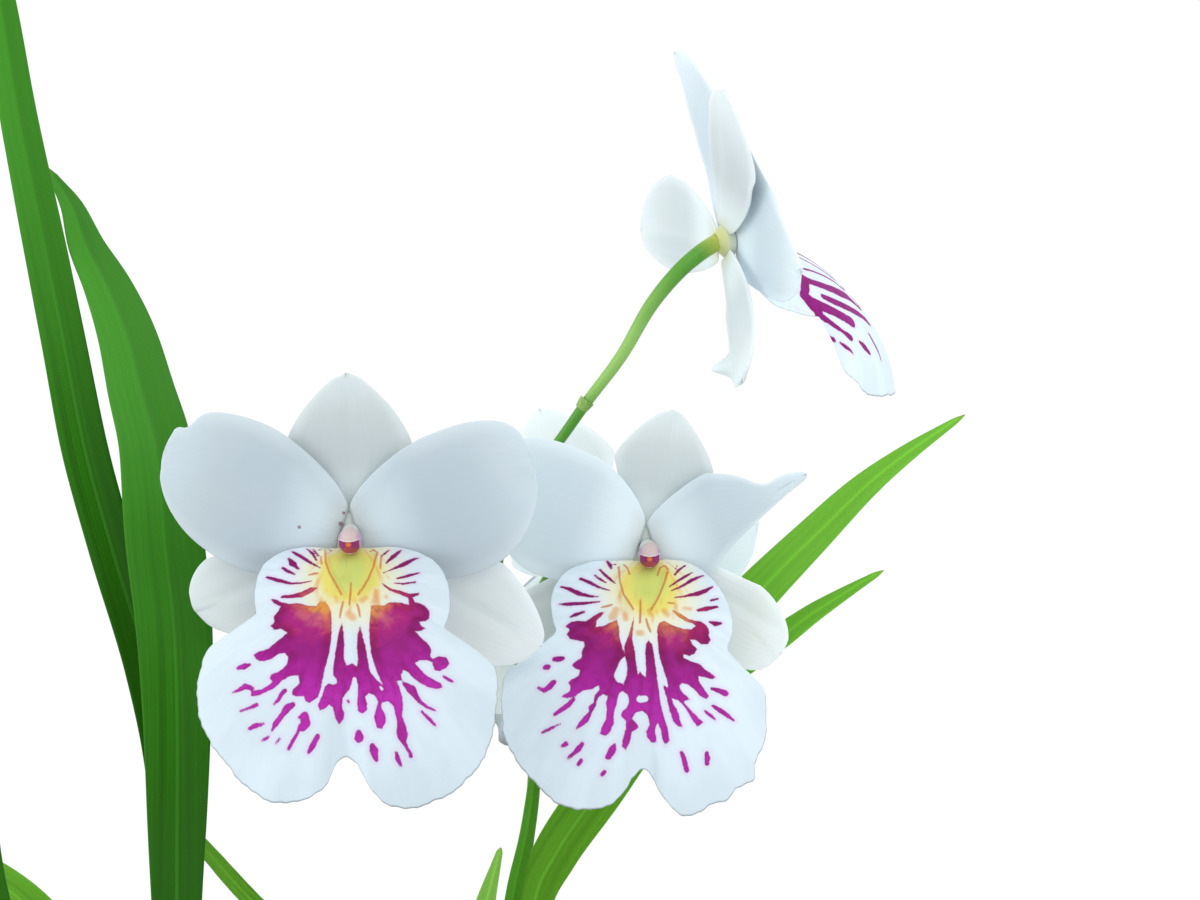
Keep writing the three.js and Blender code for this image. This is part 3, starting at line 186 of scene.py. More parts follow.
# A lip's margin and marks as they look from the camera, in points of its view: across, down and, for a
# stroke, half its width. A patch is an outline; a ray, keel, line, window or spot is a tapering stroke.
LEFT_LIP_VIEW = dict(
    margin=[(345, 757), (335, 765), (326, 786), (314, 795), (290, 803), (272, 802), (245, 786), (227, 765),
        (210, 742), (200, 720), (197, 699), (201, 666), (212, 645), (230, 633), (256, 612), (255, 588),
        (262, 567), (280, 553), (305, 547), (330, 548), (349, 548), (370, 548), (395, 547), (420, 553),
        (440, 566), (449, 588), (450, 610), (445, 628), (458, 637), (494, 666), (497, 699), (494, 726),
        (485, 756), (470, 777), (443, 798), (419, 807), (392, 807), (371, 789), (356, 763)],
    patches=[
        [(271, 599.5), (277, 600.5), (282, 603.5), (290, 605), (300, 604.5), (308, 607), (317, 607.5),
         (320, 603), (325, 603), (328, 606), (331, 612), (332, 622), (332, 632), (331, 645), (330, 652),
         (328, 660), (325, 670), (323, 680), (321, 690), (318, 698), (310, 703.5), (306, 702), (304, 697),
         (297, 697.5), (292, 695), (293, 690), (300, 684), (299, 676), (290, 677), (282, 682), (275, 689),
         (266, 693), (258, 696.5), (251, 697), (252, 691), (262, 690), (268, 686.5), (273, 683), (270, 679),
         (272, 675), (280, 672), (287, 666), (289, 658), (285, 654), (279, 655), (272, 660), (264, 662.5),
         (257, 661), (254, 655.5), (258, 653), (268, 650), (278, 642), (288, 634), (281, 630), (275, 631),
         (271, 627), (275, 623), (274, 618), (279, 612), (281, 608), (274, 604)],
        [(342, 624), (344, 634), (344.5, 648), (344, 660), (347, 666), (352, 664), (357, 667), (358, 660),
         (357, 648), (357.5, 635), (360, 627), (363, 638), (366, 650), (368, 662), (370, 672), (376, 680),
         (382, 685), (390, 686), (398, 684), (400, 690), (402, 697), (403, 706), (402, 717), (405, 724),
         (408, 735), (406, 741), (408, 747), (412, 753), (413, 758), (409, 759), (408, 753), (404, 747),
         (398, 739), (396, 733), (397, 722), (395, 714), (393, 706), (388, 702), (382, 703), (381, 708),
         (385, 714), (386, 722), (382, 729), (377, 729), (374, 718), (376, 709), (378, 702), (375, 696.5),
         (369, 693.5), (365.5, 697), (367, 704), (367, 711), (362, 714), (358, 712), (357, 706),
         (357.5, 697), (358, 686), (356, 678), (353, 678), (352, 683), (349, 690), (343, 697), (342, 707),
         (344.5, 713), (343, 719), (339, 724.5), (335, 718), (333, 708), (329, 705), (326, 709), (320, 711),
         (318, 706), (323, 694), (325, 687), (329, 684), (333, 685), (337, 684), (337, 680), (333, 676),
         (333.5, 667), (335, 655), (337, 645), (338.5, 634)],
        [(371, 607), (378, 606), (384, 607), (388, 604), (395, 603.5), (401, 604), (408, 606), (412, 603),
         (419, 604), (425, 607), (429.5, 612), (429, 619), (425, 622.5), (419, 623), (421, 627),
         (425.5, 629.5), (421, 632), (415, 632.5), (420, 638), (427, 644), (431, 650), (430, 657),
         (432, 660), (438, 657), (446, 658), (449, 664), (446, 669), (439, 672), (434, 671), (432, 663),
         (427, 661), (419, 661.5), (415, 664), (420, 670), (426, 676), (433, 680), (441, 684), (442, 688),
         (437, 690), (428, 688), (420, 684), (413, 679), (407, 672), (403, 671), (401, 676), (402, 681),
         (396, 682), (397, 686), (390, 690), (383, 686), (379, 678), (375, 668), (371, 655), (370, 645),
         (369, 632), (370, 618)],
    ],
    rays=[
        [(307, 549.5, 0.7), (313, 555, 1.3), (317, 562, 0.7)],
        [(313.5, 550, 0.7), (316, 554, 1.1), (319, 557.5, 0.6)], [(319, 551, 0.5), (323, 551, 0.5)],
        [(329, 550, 0.5), (332.5, 552.5, 0.4)],
        [(291.5, 552, 0.9), (300, 557, 1.8), (309, 563, 1.5), (321, 569.5, 0.6)],
        [(289, 559.5, 1.1), (293, 565, 3), (299, 570.5, 1)],
        [(283, 569, 1.3), (289, 573, 1.7), (295, 575.5, 0.9)],
        [(267.5, 578, 1.4), (280, 582, 2.1), (292, 585, 1.2), (302, 584.5, 0.9), (312, 582.5, 0.5)],
        [(283, 598, 1.7), (292, 597.5, 2.1), (302, 596, 3.2), (312, 591, 2.8), (317, 589.5, 0.8)],
        [(381.5, 558, 0.6), (385, 554.5, 1.1), (389, 551, 0.7)],
        [(386, 565, 0.6), (393, 558, 2.2), (401, 551, 0.9)],
        [(383, 574.5, 0.5), (393, 570.5, 1), (405, 565, 2.4), (413, 560.5, 1.6), (418.5, 558.5, 0.6)],
        [(397, 580, 1), (407, 577.5, 1.7), (419, 574, 1)],
        [(394.5, 584.5, 0.6), (402, 585.3, 1.1), (415, 583.5, 1.1)],
        [(382, 585, 0.5), (390, 591, 1.5), (400, 594, 2.2), (410, 597.5, 2.5), (418, 595, 1.2)],
        [(410, 597.5, 2), (412, 605, 3)], [(233.5, 693, 1.2), (241, 690, 2.4), (246, 687, 3), (253, 689, 2)],
        [(239, 668.5, 2), (245, 667, 3.3), (250, 665.5, 1.8)],
        [(241, 711.5, 1.3), (250, 708.5, 1.6), (257, 705.5, 2.3)],
        [(250, 729, 2), (256, 726, 2.8), (264, 724, 1.6)],
        [(262.5, 740.5, 1.4), (267, 738.5, 1.7), (269.5, 736, 1)], [(276.5, 743.5, 1.1), (280.5, 738.5, 1.3)],
        [(274.5, 704.5, 1.2), (279, 700.5, 2), (281, 696, 2.2), (285.5, 691, 2.2)],
        [(272, 731.5, 0.8), (276, 724, 3), (283, 715, 3), (288, 708, 4), (293, 705.5, 3)],
        [(289, 749, 1.9), (294, 740, 2), (299, 731, 1.6), (301, 727, 3)],
        [(300, 718, 2), (305, 716, 4), (306, 724, 5), (303, 728, 4)],
        [(309, 752.5, 1.8), (313, 746, 3.2), (318, 736.5, 2.5)], [(348, 701, 1.7), (348.5, 701.5, 1.7)],
        [(443, 677, 1.2), (448, 680, 1.8), (452.5, 682.5, 1.2)],
        [(404, 684.5, 2), (411, 690, 4.8), (415, 696, 3.2), (419, 702, 2), (427, 707.5, 1.6), (435, 711, 1)],
        [(421.5, 712, 1.4), (428, 718.5, 1.8), (435, 725.5, 1.4)], [(358.5, 733, 3.4), (359, 738, 5)],
        [(372.5, 746, 2.8), (374, 751, 4.5), (376, 760, 2.2)],
        [(396, 753, 1.6), (398, 760, 2.6), (400.5, 765.5, 1.6)],
    ],
    windows=[[(380.5, 688, 1.3), (382, 690, 1.5)]],
    keels=[
        [(325.5, 552, 0.5), (326.5, 565, 0.6), (330, 575, 0.6), (336, 586, 0.7), (342, 597, 0.8)],
        [(377, 556, 0.8), (373, 570, 0.6), (368, 582, 0.7), (362, 592, 0.8), (358, 597, 0.8)],
    ],
    lines=[
        [(377, 556, 0.5), (374, 550.5, 0.5), (370, 553, 0.4)],
        [(351, 584, 0.5), (350.5, 595, 0.7), (349.5, 606, 0.6)],
        [(343.5, 603, 0.6), (341.5, 610, 0.8), (340, 619, 0.5)],
        [(357, 605, 0.6), (359, 611, 0.8), (360, 618, 0.5)], [(321, 558, 0.4), (322.5, 566, 0.6)],
        [(381, 559, 0.6), (380, 570, 0.5)], [(309.5, 576.5, 0.5), (315, 575, 1.2), (318, 575, 0.8)],
    ],
    spots=[
        [(349, 615, 3.5), (353, 619, 3.5)], [(336, 598, 1.5), (337, 603, 1.5)],
        [(362, 602, 2.5), (366, 599, 2)], [(323, 605, 3.5), (326, 612, 4)], [(377, 592, 2), (377, 604, 3)],
        [(386, 598, 1.8), (386, 598, 1.8)],
    ],
)
RIGHT_LIP_VIEW = dict(
    margin=[(643, 769), (633, 777), (625, 791), (611, 804), (599, 809), (577, 809), (557, 804), (546, 794),
        (529, 777), (518, 763), (512, 754), (503, 731), (502, 716), (502, 688), (504, 678), (510, 669),
        (524, 660), (556, 630), (551, 610), (553, 590), (565, 573), (590, 562), (615, 560), (645, 562),
        (675, 560), (698, 567), (714, 581), (728, 603), (733, 628), (728, 651), (762, 687), (766, 721),
        (766, 738), (755, 763), (754, 780), (737, 788), (728, 800), (712, 804), (698, 814), (684, 816),
        (672, 808), (661, 794), (650, 774)],
    patches=[
        [(565.5, 626.5), (571, 622.5), (578, 621.5), (586, 622.5), (592, 618.5), (600, 613.5),
         (605.5, 613.5), (602, 617), (597, 622), (596, 628), (604, 627), (612, 623), (617, 621), (619, 628),
         (620, 640), (623, 650), (626, 657), (621, 660.5), (618, 667), (614, 676), (616, 682), (624, 685),
         (624, 691), (619, 694), (617, 703), (614, 714), (614, 724), (610, 733), (605, 736.5), (600, 734),
         (602, 727), (606, 720), (607, 710), (606, 703), (608, 697), (603, 695), (598, 699), (596, 707),
         (592, 714), (589, 722), (582, 727), (575, 731), (579, 723), (585, 716), (590, 711), (588, 707),
         (594, 703), (595, 696), (600, 690), (599, 686), (592, 690), (584, 691), (575, 697), (567, 699),
         (561, 697.5), (564, 695), (570, 692), (571, 687), (568, 683), (572, 680), (579, 677), (580, 671),
         (575, 669), (572, 666), (576, 662), (582, 659), (582, 652), (585, 647), (584, 643), (577, 641.5),
         (570, 640), (567, 635), (570, 631)],
        [(634, 618), (633.5, 628), (632, 640), (635, 652), (636.5, 665), (638, 675), (640, 672),
         (642.5, 675), (645.5, 678), (646, 668), (645, 655), (646, 645), (648.5, 641), (652, 645),
         (654, 655), (655.5, 666), (657, 678), (659, 690), (660, 700), (662, 710), (665, 720), (668, 730),
         (669.5, 741), (665, 745), (662, 738), (661, 730), (657.5, 722), (655, 729), (656, 737), (657, 742),
         (652, 742.5), (647, 737), (646, 731), (649.5, 725), (648, 716), (643, 711), (636, 713), (632, 719),
         (636, 723), (639, 727), (636, 730.5), (632, 732), (630, 742), (626, 750), (622, 747), (623, 738),
         (626, 729), (626, 721), (621, 717), (622, 712), (627, 708), (629, 702), (628, 696), (622, 691),
         (624, 684), (627, 675), (627, 665), (625, 657), (624, 648), (628, 638), (631, 628)],
        [(657.5, 640), (657, 630), (659, 624), (664, 622), (670, 625.5), (677, 628), (684, 630),
         (691, 630.5), (695, 627), (691, 624), (694, 622), (700, 622.5), (706, 626), (709, 632),
         (708.5, 637), (710.5, 641), (708, 645), (701, 645.5), (695, 641), (690, 641), (692, 645),
         (697, 650), (694, 655), (689, 657), (683, 655), (683, 658), (690, 662), (700, 665), (704, 670),
         (712, 675), (715.5, 678), (712, 680), (703, 678), (698, 677), (699, 683), (704, 690), (709, 697),
         (706, 700), (700, 697), (694, 690), (687, 685), (682, 684), (679, 687), (682, 693), (690, 700),
         (683, 702), (688, 708), (694, 714), (700, 720), (703.5, 723), (697, 727), (693, 722), (689, 715),
         (684, 707), (678, 701), (672, 699), (673, 704), (677, 710), (679, 716), (680, 722), (683, 727.5),
         (678, 727), (673, 722), (670, 713), (668, 705), (666, 696), (663, 688), (664, 685.5), (668, 689),
         (667, 681), (663, 670), (660, 660), (658, 650)],
    ],
    rays=[
        [(607, 561, 1), (610, 566, 2), (611.5, 570, 1)], [(614.5, 565, 0.9), (615.5, 565.5, 0.9)],
        [(600, 571, 1), (606, 577, 1.5), (612, 582, 1.3), (615.5, 585, 0.6)],
        [(595, 576.5, 0.9), (600, 580.5, 1.3), (606, 584, 0.8)],
        [(581, 580, 1.6), (590, 584, 1.8), (600, 589, 1.2), (610, 592, 0.6)],
        [(561, 587, 1), (570, 590, 2), (580, 595, 2.3), (590, 597.5, 1.6), (598, 598, 0.7)],
        [(559.5, 605, 1), (570, 605, 2.2), (585, 604.5, 1.8), (600, 603, 0.8)],
        [(571, 617.5, 1.2), (576, 615.5, 2.2), (584, 613, 1.4)],
        [(674, 576.5, 0.9), (679, 571, 1.2), (685, 566.5, 0.8)], [(675, 570.5, 0.5), (677, 567, 0.6)],
        [(669, 588, 0.6), (678, 582, 1.3), (686, 577, 1.3), (692, 573.5, 0.6)],
        [(671, 592, 0.6), (682, 587.5, 1.2), (693, 580.5, 1.8), (703, 576, 1)],
        [(674, 599, 0.6), (685, 597.5, 1.3), (697, 595, 2.4), (705, 592, 2.2), (712.5, 587.5, 0.8)],
        [(710.5, 601.5, 1.2), (717, 599.5, 1.3)], [(698, 611.5, 1.6), (706, 610, 2.6), (717, 607.5, 1.3)],
        [(673, 612, 0.8), (680, 617, 2.2), (688, 622, 1.8), (697, 623.5, 1.6)],
        [(709.5, 623, 1.2), (715, 624.5, 2.7), (720.5, 624, 1.6)],
        [(574, 700, 2), (568, 706, 2.8), (561, 711, 2.5), (555, 715, 1.8)],
        [(555, 660, 2.5), (559, 660, 3.3), (563, 659.5, 2.3)], [(546, 668, 3), (548, 668, 3)],
        [(539, 688.5, 1.6), (545, 691, 2.4), (550, 687.5, 3.2), (554, 683, 2.8)],
        [(543, 732.5, 1.6), (551, 729, 1.8), (561, 724, 0.9)], [(562.5, 746, 2), (566.5, 744, 2.6)],
        [(568.5, 758, 1.6), (575, 753, 2.2), (579, 749, 3.2), (582.5, 744, 2)],
        [(578.5, 764.5, 1.9), (581.5, 760.5, 2.2)], [(608.5, 757, 3.2), (612.5, 750, 4), (614.5, 745.5, 2)],
        [(602, 775, 2), (604.5, 772, 2.2)], [(681.5, 753, 2), (684, 760, 2.6), (686.5, 770.5, 2.6)],
        [(706.5, 753, 2), (707, 759, 3), (706.5, 764, 2.2)],
        [(711.5, 689.5, 1.6), (718, 691, 2.8), (725, 694, 3.2)],
        [(712.5, 706.5, 1.7), (720, 711, 2.6), (727, 716, 2.2), (733.5, 721, 1)],
        [(704.5, 711.5, 1.2), (709, 715, 2), (715, 720, 1)],
    ],
    windows=[[(640, 699.5, 3.4), (645, 699, 3.2)]],
    keels=[
        [(619, 570, 0.8), (620.5, 585, 0.5), (624, 597, 0.6), (630, 606, 0.8), (633.5, 612, 0.8)],
        [(667, 575, 0.8), (664, 585, 0.6), (660, 595, 0.6), (657, 602, 0.7), (651, 612, 0.9)],
    ],
    lines=[
        [(624, 565.5, 0.6), (628, 570, 0.5), (630, 576, 0.4)],
        [(668, 572, 0.6), (665, 567, 0.5), (660, 569, 0.5), (657, 577, 0.4)],
        [(640.5, 601, 0.4), (640.5, 612, 0.8), (640, 624, 0.8)],
        [(646, 620, 0.6), (648, 627, 0.9), (650.5, 633, 0.7)],
        [(602, 608.5, 0.7), (607, 607.5, 1), (612, 606, 0.7)], [(668, 604, 0.6), (673, 604.5, 0.7)],
    ],
    spots=[
        [(639, 634, 3.2), (641, 634, 3.2)], [(625, 615, 2.4), (626, 620, 2.6)],
        [(613, 618, 4), (616, 611, 3)], [(664, 612, 2.5), (667, 616, 2.5)],
        [(684, 609.5, 1.6), (690, 610, 1.8)], [(649, 612, 1.6), (652, 617, 1.6)],
    ],
)

# Half of the top bloom's lip; the other half mirrors it. A half width below 0 leaves only a lilac veil.
TOP_LIP_VIEW = dict(
    rays=[
        [(799, 269.5, 1.1), (812, 273, 0.9), (825, 278.5, 0.8), (834, 284, 0.8), (842, 291, 0.7)],
        [(849, 297, 0.8), (855, 303.5, 0.8), (859.5, 311, 0.6)],
        [(801, 280, 3.5), (812, 284, 3), (826, 289, 3.2), (838, 294, 3.5), (846, 298, 2.6),
         (852, 303.5, 1.4), (859, 310.5, 0.7)], [(803, 280, 4), (804, 290, 4), (803, 297, 3)],
        [(803, 296, 4), (812, 303, 4.5), (822, 308, 4.5), (833, 313, 4), (843, 318.5, 3.6), (850, 323, 4)],
        [(803, 297, 4), (811, 306, 4.2), (818, 312, 4)],
        [(822, 298, 2.5), (832, 302.5, 3), (843, 307.5, 2.7), (852, 312, 2.4), (860, 317, 1.9),
         (865, 321.5, 2), (869, 326, 0.7)],
        [(817, 314, 3), (825, 320, 2.6), (832, 325.5, 2.4), (840, 331.5, 1.6), (848, 337, 2.7),
         (850, 338.5, 2.4)], [(824, 331, 0.6), (828, 335.5, 1.6), (834, 341, 1.6)],
        [(839, 343, 0.9), (845, 348, 1.6), (852, 354, 0.9)],
        [(858, 342.5, 1), (863, 347.5, 2.6), (868.5, 354, 1.2)],
        [(867.5, 334.5, 0.9), (873, 344, 1), (877.5, 352.5, 0.8), (880.5, 360.5, 0.7)],
        [(874, 333, -0.6), (877.5, 341, -0.4), (880, 348, -0.6)], [(794, 307.5, -0.4), (799, 310.5, -0.4)],
        [(807, 312, -0.6), (810.5, 318, -0.4), (814, 324, -0.6)],
    ],
    patches=[], windows=[], keels=[], lines=[], spots=[],
)

# `yaw` turns the face about +Z from -Y, `nod` tips it down, `roll` turns it about its own axis.
# `stalk` runs from just behind the flower to its node on the stem. `fine` sets how fine its lip is.
# A lip's `light` is painted light and shade: it makes that lip paler or deeper.
BLOOMS = {
    "left_bloom": dict(
        at=(-1, -16, 218.5), yaw=0, nod=16, roll=0, size=1, form=LEFT_FORM, fine=1.0,
        lip=dict(drawing="left", tilt=(25, 70), arch=0.006, size=1, light=1.0),
        stalk=[(-0.5, -6, 221), (6, 6, 221), (16, 18, 215), (27.8, 28, 203)]),
    "right_bloom": dict(
        at=(55.8, 14, 214.7), yaw=0, nod=16, roll=0, size=1, form=RIGHT_FORM, fine=1.0,
        lip=dict(drawing="right", tilt=(25, 70), arch=0.006, size=1, light=1.1),
        stalk=[(55, 23, 217), (46, 31, 216), (37, 32, 206.5), (30, 28, 194)]),
    "top_bloom": dict(
        at=(73.5, 22, 276.2), yaw=110, nod=-7, roll=34, size=1.05, form=TOP_FORM, fine=0.7,
        lip=dict(drawing="top", tilt=(8, 70), arch=0.014, size=0.9, light=1.25),
        stalk=None),
    "rear_bloom": dict(
        at=(43.5, 56, 212), yaw=178, nod=14, roll=0, size=1.08, form=REAR_FORM, fine=0.7,
        lip=dict(drawing="right", tilt=(25, 70), arch=0.006, size=0.9, light=1.2),
        stalk=[(42.5, 44, 214), (37, 37, 209), (30.2, 28.5, 197)]),
}

STEM_PATH = [
    (26.5, 22, 86), (27, 24, 110), (29.5, 26.5, 142), (31.6, 27, 154), (33.1, 27.5, 166), (32.5, 28, 182),
    (29.6, 28, 196), (25.9, 28, 210.6), (31, 27, 226), (38.3, 25, 235.5), (44, 23, 243.5),
    (50.8, 20.5, 252.5), (57, 18.5, 263), (62.5, 17.4, 269.6), (66.7, 18.6, 273.3),
]
STEM_RADII = [1.9, 1.9, 1.3, 0.95, 1.15, 1.75]
STALK_RADII = [1.8, 1.8, 1.0, 1.0]
# A bract clasps the stem at `at` and leans out, to `length` millimetres from there; `radii` go up along it.
STEM_BRACTS = [
    dict(at=(30.6, 28, 191), lean=-0.5, length=9, radii=[1.75, 1.5, 0.35]),
    dict(at=(43.6, 23, 243.2), lean=0.74, length=1.0, radii=[1.15, 1.4, 1.5]),
]
BRACT_FORWARD, BRACT_ROOT = -0.35, -1.5

# A pseudobulb stands at `at` on the bark: its width, depth and height, its lean and its turn.
PSEUDOBULBS = [
    dict(at=(-36, 2), size=(23, 13, 43), lean=(-5, 0), turn=8),
    dict(at=(-15, 13), size=(20, 12, 36), lean=(2, 3), turn=-12),
    dict(at=(31, -2), size=(24, 13, 42), lean=(4, -2), turn=-6),
    dict(at=(8, -16), size=(18, 11, 31), lean=(1, -6), turn=20),
]
BULB_PROFILE = [(-0.04, 0), (-0.02, 0.3), (0.08, 0.72), (0.22, 0.95), (0.38, 1), (0.56, 0.93), (0.74, 0.74),
                (0.89, 0.46), (0.96, 0.3), (1, 0)]

# A leaf follows `path` from its foot. `widths` are half widths at even steps; `face` is the way the upper
# side looks, at the foot and at the tip; `fold` is how far the halves lift, in degrees.
LEAVES = {
    "leaf_left_tall": dict(
        tint="deep", fold=16, face=((0.2, -1, 0), (0.35, -1, 0.1)),
        path=[(-39.2, 2.2, 136.4), (-38.8, 5, 146), (-38.5, 8, 158), (-39.5, 10.5, 172), (-43.5, 12, 190.5),
            (-50.6, 12, 214), (-55.8, 11, 233.5), (-60.2, 9, 257.5), (-65, 6.5, 283.5), (-68.2, 5, 301),
            (-71.2, 3, 322), (-75.5, 0, 351)],
        widths=[1.5, 3.8, 4.7, 4.8, 4.8, 4.8, 4.6, 4.4, 4, 3.6, 2.6, 0.5]),
    "leaf_left_wide": dict(
        tint="deep", fold=14, face=((0, -1, 0), (0.45, -1, 0.45)),
        path=[(-33.6, -11, 86), (-34, -11, 100), (-34.8, -8, 148), (-35.7, -2, 183.5), (-36.7, 0, 200),
            (-38.6, 2, 214), (-41, 5, 233.7), (-44, 7, 244.3), (-47.2, 9, 255.6), (-51.4, 11, 265.5),
            (-55.8, 12, 274), (-58.8, 13, 282), (-61.7, 14, 286.7), (-64.2, 14.6, 290.5)],
        widths=[2.2, 2.8, 4, 4.8, 5.9, 6.8, 7.7, 8, 7.3, 6.1, 4, 0.5]),
    "leaf_left_outer": dict(
        tint="deep", fold=18, face=((0.4, -1, 0.1), (0.5, -1, 0.3)),
        path=[(-45.5, -14, 86), (-46, -14, 100), (-56, -10, 116), (-68, -5, 131), (-73.8, -3, 148),
            (-77, -4, 168), (-82, -5, 196), (-91, -6, 226), (-101, -7, 250)],
        widths=[2.2, 3, 4.6, 5.4, 5.6, 5.4, 4.6, 3.2, 0.5]),
    "leaf_left_low": dict(
        tint="bright", fold=18, face=((0.4, -0.6, 0.6), (0.2, -0.4, 1)),
        path=[(-43, 17, 86), (-43.5, 17, 99), (-52, 15, 120), (-64, 13, 138.5), (-75.5, 12, 148.5),
            (-90, 10, 154), (-104, 8, 151), (-116, 6, 140)],
        widths=[2.2, 3.4, 4.8, 5.2, 4.8, 3.2, 0.5]),
    "leaf_left_young": dict(
        tint="bright", fold=24, face=((0.3, -1, 0.3), (0.4, -1, 0.4)),
        path=[(-13.8, 14.7, 130.2), (-17, 14.8, 137), (-25.5, 14.5, 146), (-31.5, 15.5, 152.5),
            (-38, 16.5, 160)],
        widths=[1.5, 1.9, 2, 1.8, 0.5]),
    "leaf_right_long": dict(
        tint="bright", fold=14, face=((0.2, -1, 0.1), (-0.45, -1, 0.7)),
        path=[(37.5, 11, 86), (36.5, 12, 100), (33.5, 18, 142.9), (37.5, 20, 151.9), (46.6, 23, 164.8),
            (56.8, 29, 178.7), (67.3, 32, 190.3), (76.8, 34, 201.3), (85.3, 34.5, 210.2), (93.4, 34.5, 218),
            (102.5, 34.5, 226.8), (110.4, 34.5, 233), (122, 34.5, 241)],
        widths=[2.2, 2.3, 2.5, 2.8, 4.6, 5.3, 5.6, 5.7, 5.4, 4.8, 3.9, 2.4, 0.5]),
    "leaf_right_second": dict(
        tint="bright", fold=16, face=((0.2, -1, 0.1), (-0.4, -1, 0.7)),
        path=[(41, 26, 86), (39.5, 26.5, 100), (33.4, 30, 141.5), (36.2, 31, 149.5), (44.8, 34, 162),
            (64, 38.5, 180.5), (85, 40, 195), (91, 40.3, 199.4), (96.9, 40.5, 203.1), (105.8, 40.8, 208.6)],
        widths=[2.2, 2.4, 2.6, 2.8, 3.6, 4.2, 4.2, 3.6, 2.4, 0.5]),
    "leaf_right_folded": dict(
        tint="middle", fold=30, face=((0.5, -1, 0), (0.5, -1, 0.1)),
        path=[(22, 12, 86), (23.5, 12.5, 100), (28.8, 14, 144), (31.8, 15, 158), (33.5, 15.5, 170),
            (36, 16, 184)],
        widths=[2, 2.2, 2.2, 2, 1.6, 0.5]),
    "leaf_right_low": dict(
        tint="bright", fold=16, face=((-0.4, -0.3, 1), (0.5, 0, 0.8)),
        path=[(33.6, -3.3, 136.2), (36, -4.5, 140), (46, -8, 141), (62, -13, 136), (77, -18, 122),
            (87, -22, 104)],
        widths=[1.5, 3.6, 5, 5, 3.6, 0.5]),
    "leaf_front_low": dict(
        tint="deep", fold=18, face=((0, -0.8, 0.6), (0, 0.3, 1)),
        path=[(3, -28, 86), (3, -29, 98), (1, -37, 118), (-5, -52, 134), (-13, -70, 138), (-21, -88, 128),
            (-26, -100, 112)],
        widths=[2.2, 3, 4.8, 5.4, 5, 3.4, 0.5]),
    "leaf_back_left": dict(
        tint="deep", fold=18, face=((0, 0.8, 0.6), (0, 0.3, 1)),
        path=[(-20, 27, 86), (-20.5, 28, 100), (-25, 37, 117), (-32, 53, 126), (-38, 71, 125),
            (-44, 89, 111)],
        widths=[2.2, 3.2, 5, 5.4, 4.2, 0.5]),
    "leaf_back_right": dict(
        tint="deep", fold=18, face=((0, 0.8, 0.6), (0, 0.3, 1)),
        path=[(14, 33, 86), (14, 34, 100), (16, 44, 115), (22, 60, 122), (28, 78, 117), (33, 92, 101)],
        widths=[2.2, 3, 4.8, 5, 3.8, 0.5]),
    "sheath_right": dict(
        tint="sheath", fold=26, face=((-0.3, -1, 0), (-0.3, -1, 0.1)),
        path=[(15, 6, 86), (16.5, 6, 98), (20.5, 7, 126), (24, 8, 143), (27, 9, 155)],
        widths=[2.4, 3.6, 4, 3, 0.6]),
    "sheath_left": dict(
        tint="sheath", fold=26, face=((0.5, -1, 0), (0.5, -1, 0.1)),
        path=[(-24, 1, 86), (-24, 0, 98), (-22.5, -1, 118), (-20.5, -1, 134)],
        widths=[2.4, 3.8, 3.4, 0.6]),
}

# ---- How finely the pieces are made ----
TEPAL_ROWS, TEPAL_COLUMNS = 72, 41
TIP_ROUNDING = 0.8
MARK_FAR = 3.0
LIP_SPOKES, LIP_RINGS, LIP_UNDER_RINGS = 460, 100, 8
LEAF_ROWS, LEAF_COLUMNS = 150, 17
HOOD_SIDES, CUP_SIDES, POST_SIDES = 96, 48, 32
STEM_STEPS, STALK_STEPS, ROD_SIDES = 200, 60, 24
BARK_SIDES, BARK_RINGS = 90, 18
POT_SIDES = 144
BULB_SIDES, BULB_ROWS = 72, 44
FLOOR_SIDES, DRAIN_SIDES = 128, 40
BULB_SEED, LEAF_SEED, LIP_SEED, TEPAL_SEED = 200, 300, 500, 1000


# ---- What a user can change ----
def tint(name, description, value):
    """A colour setting that opens at `value`, given in everyday 0-255 steps."""
    return bpy.props.FloatVectorProperty(
        name=name, description=description, subtype="COLOR", size=3, min=0, max=1, default=srgb(*value)
    )


def measure(name, description, millimetres, low=0.0, high=2000.0):
    """A length setting in metres that opens at a size in millimetres."""
    return bpy.props.FloatProperty(
        name=name, description=description, default=millimetres * MM, min=low * MM, max=high * MM,
        unit="LENGTH", subtype="DISTANCE", precision=5,
    )


class PotSettings(bpy.types.PropertyGroup):
    """The pot's size and clay."""

    rim_radius: measure("Rim radius", "Outside radius of the collar", POT_BOX[1].x / MM, 30, 200)
    height: measure("Height", "Height of the pot", POT_BOX[1].z / MM, 30, 300)
    clay: tint("Clay", "Colour of the fired clay", (184, 108, 78))
    bloom: tint("Lime bloom", "Colour of the pale salts on the clay", (214, 176, 152))


class BarkSettings(bpy.types.PropertyGroup):
    """The bark the plant grows in."""

    chips: bpy.props.IntProperty(
        name="Chips", description="How many chips lie on top", default=190, min=20, max=600
    )
    chip_size: measure("Chip length", "Length of a usual chip", 10.5, 4, 30)
    seed: bpy.props.IntProperty(name="Seed", description="Changes how the chips lie", default=11, min=1)
    dark: tint("Dark bark", "Colour of damp bark", (78, 52, 36))
    pale: tint("Pale bark", "Colour of dry bark", (150, 104, 70))


class BulbSettings(bpy.types.PropertyGroup):
    """The swollen stems that carry the leaves."""

    rib_depth: measure("Rib depth", "Depth of the lengthwise ribs", 0.35, 0, 2)
    skin: tint("Skin", "Green of the bulb", (128, 160, 66))
    scale: tint("Dry sheath", "Colour of the papery sheath round its foot", (176, 150, 104))


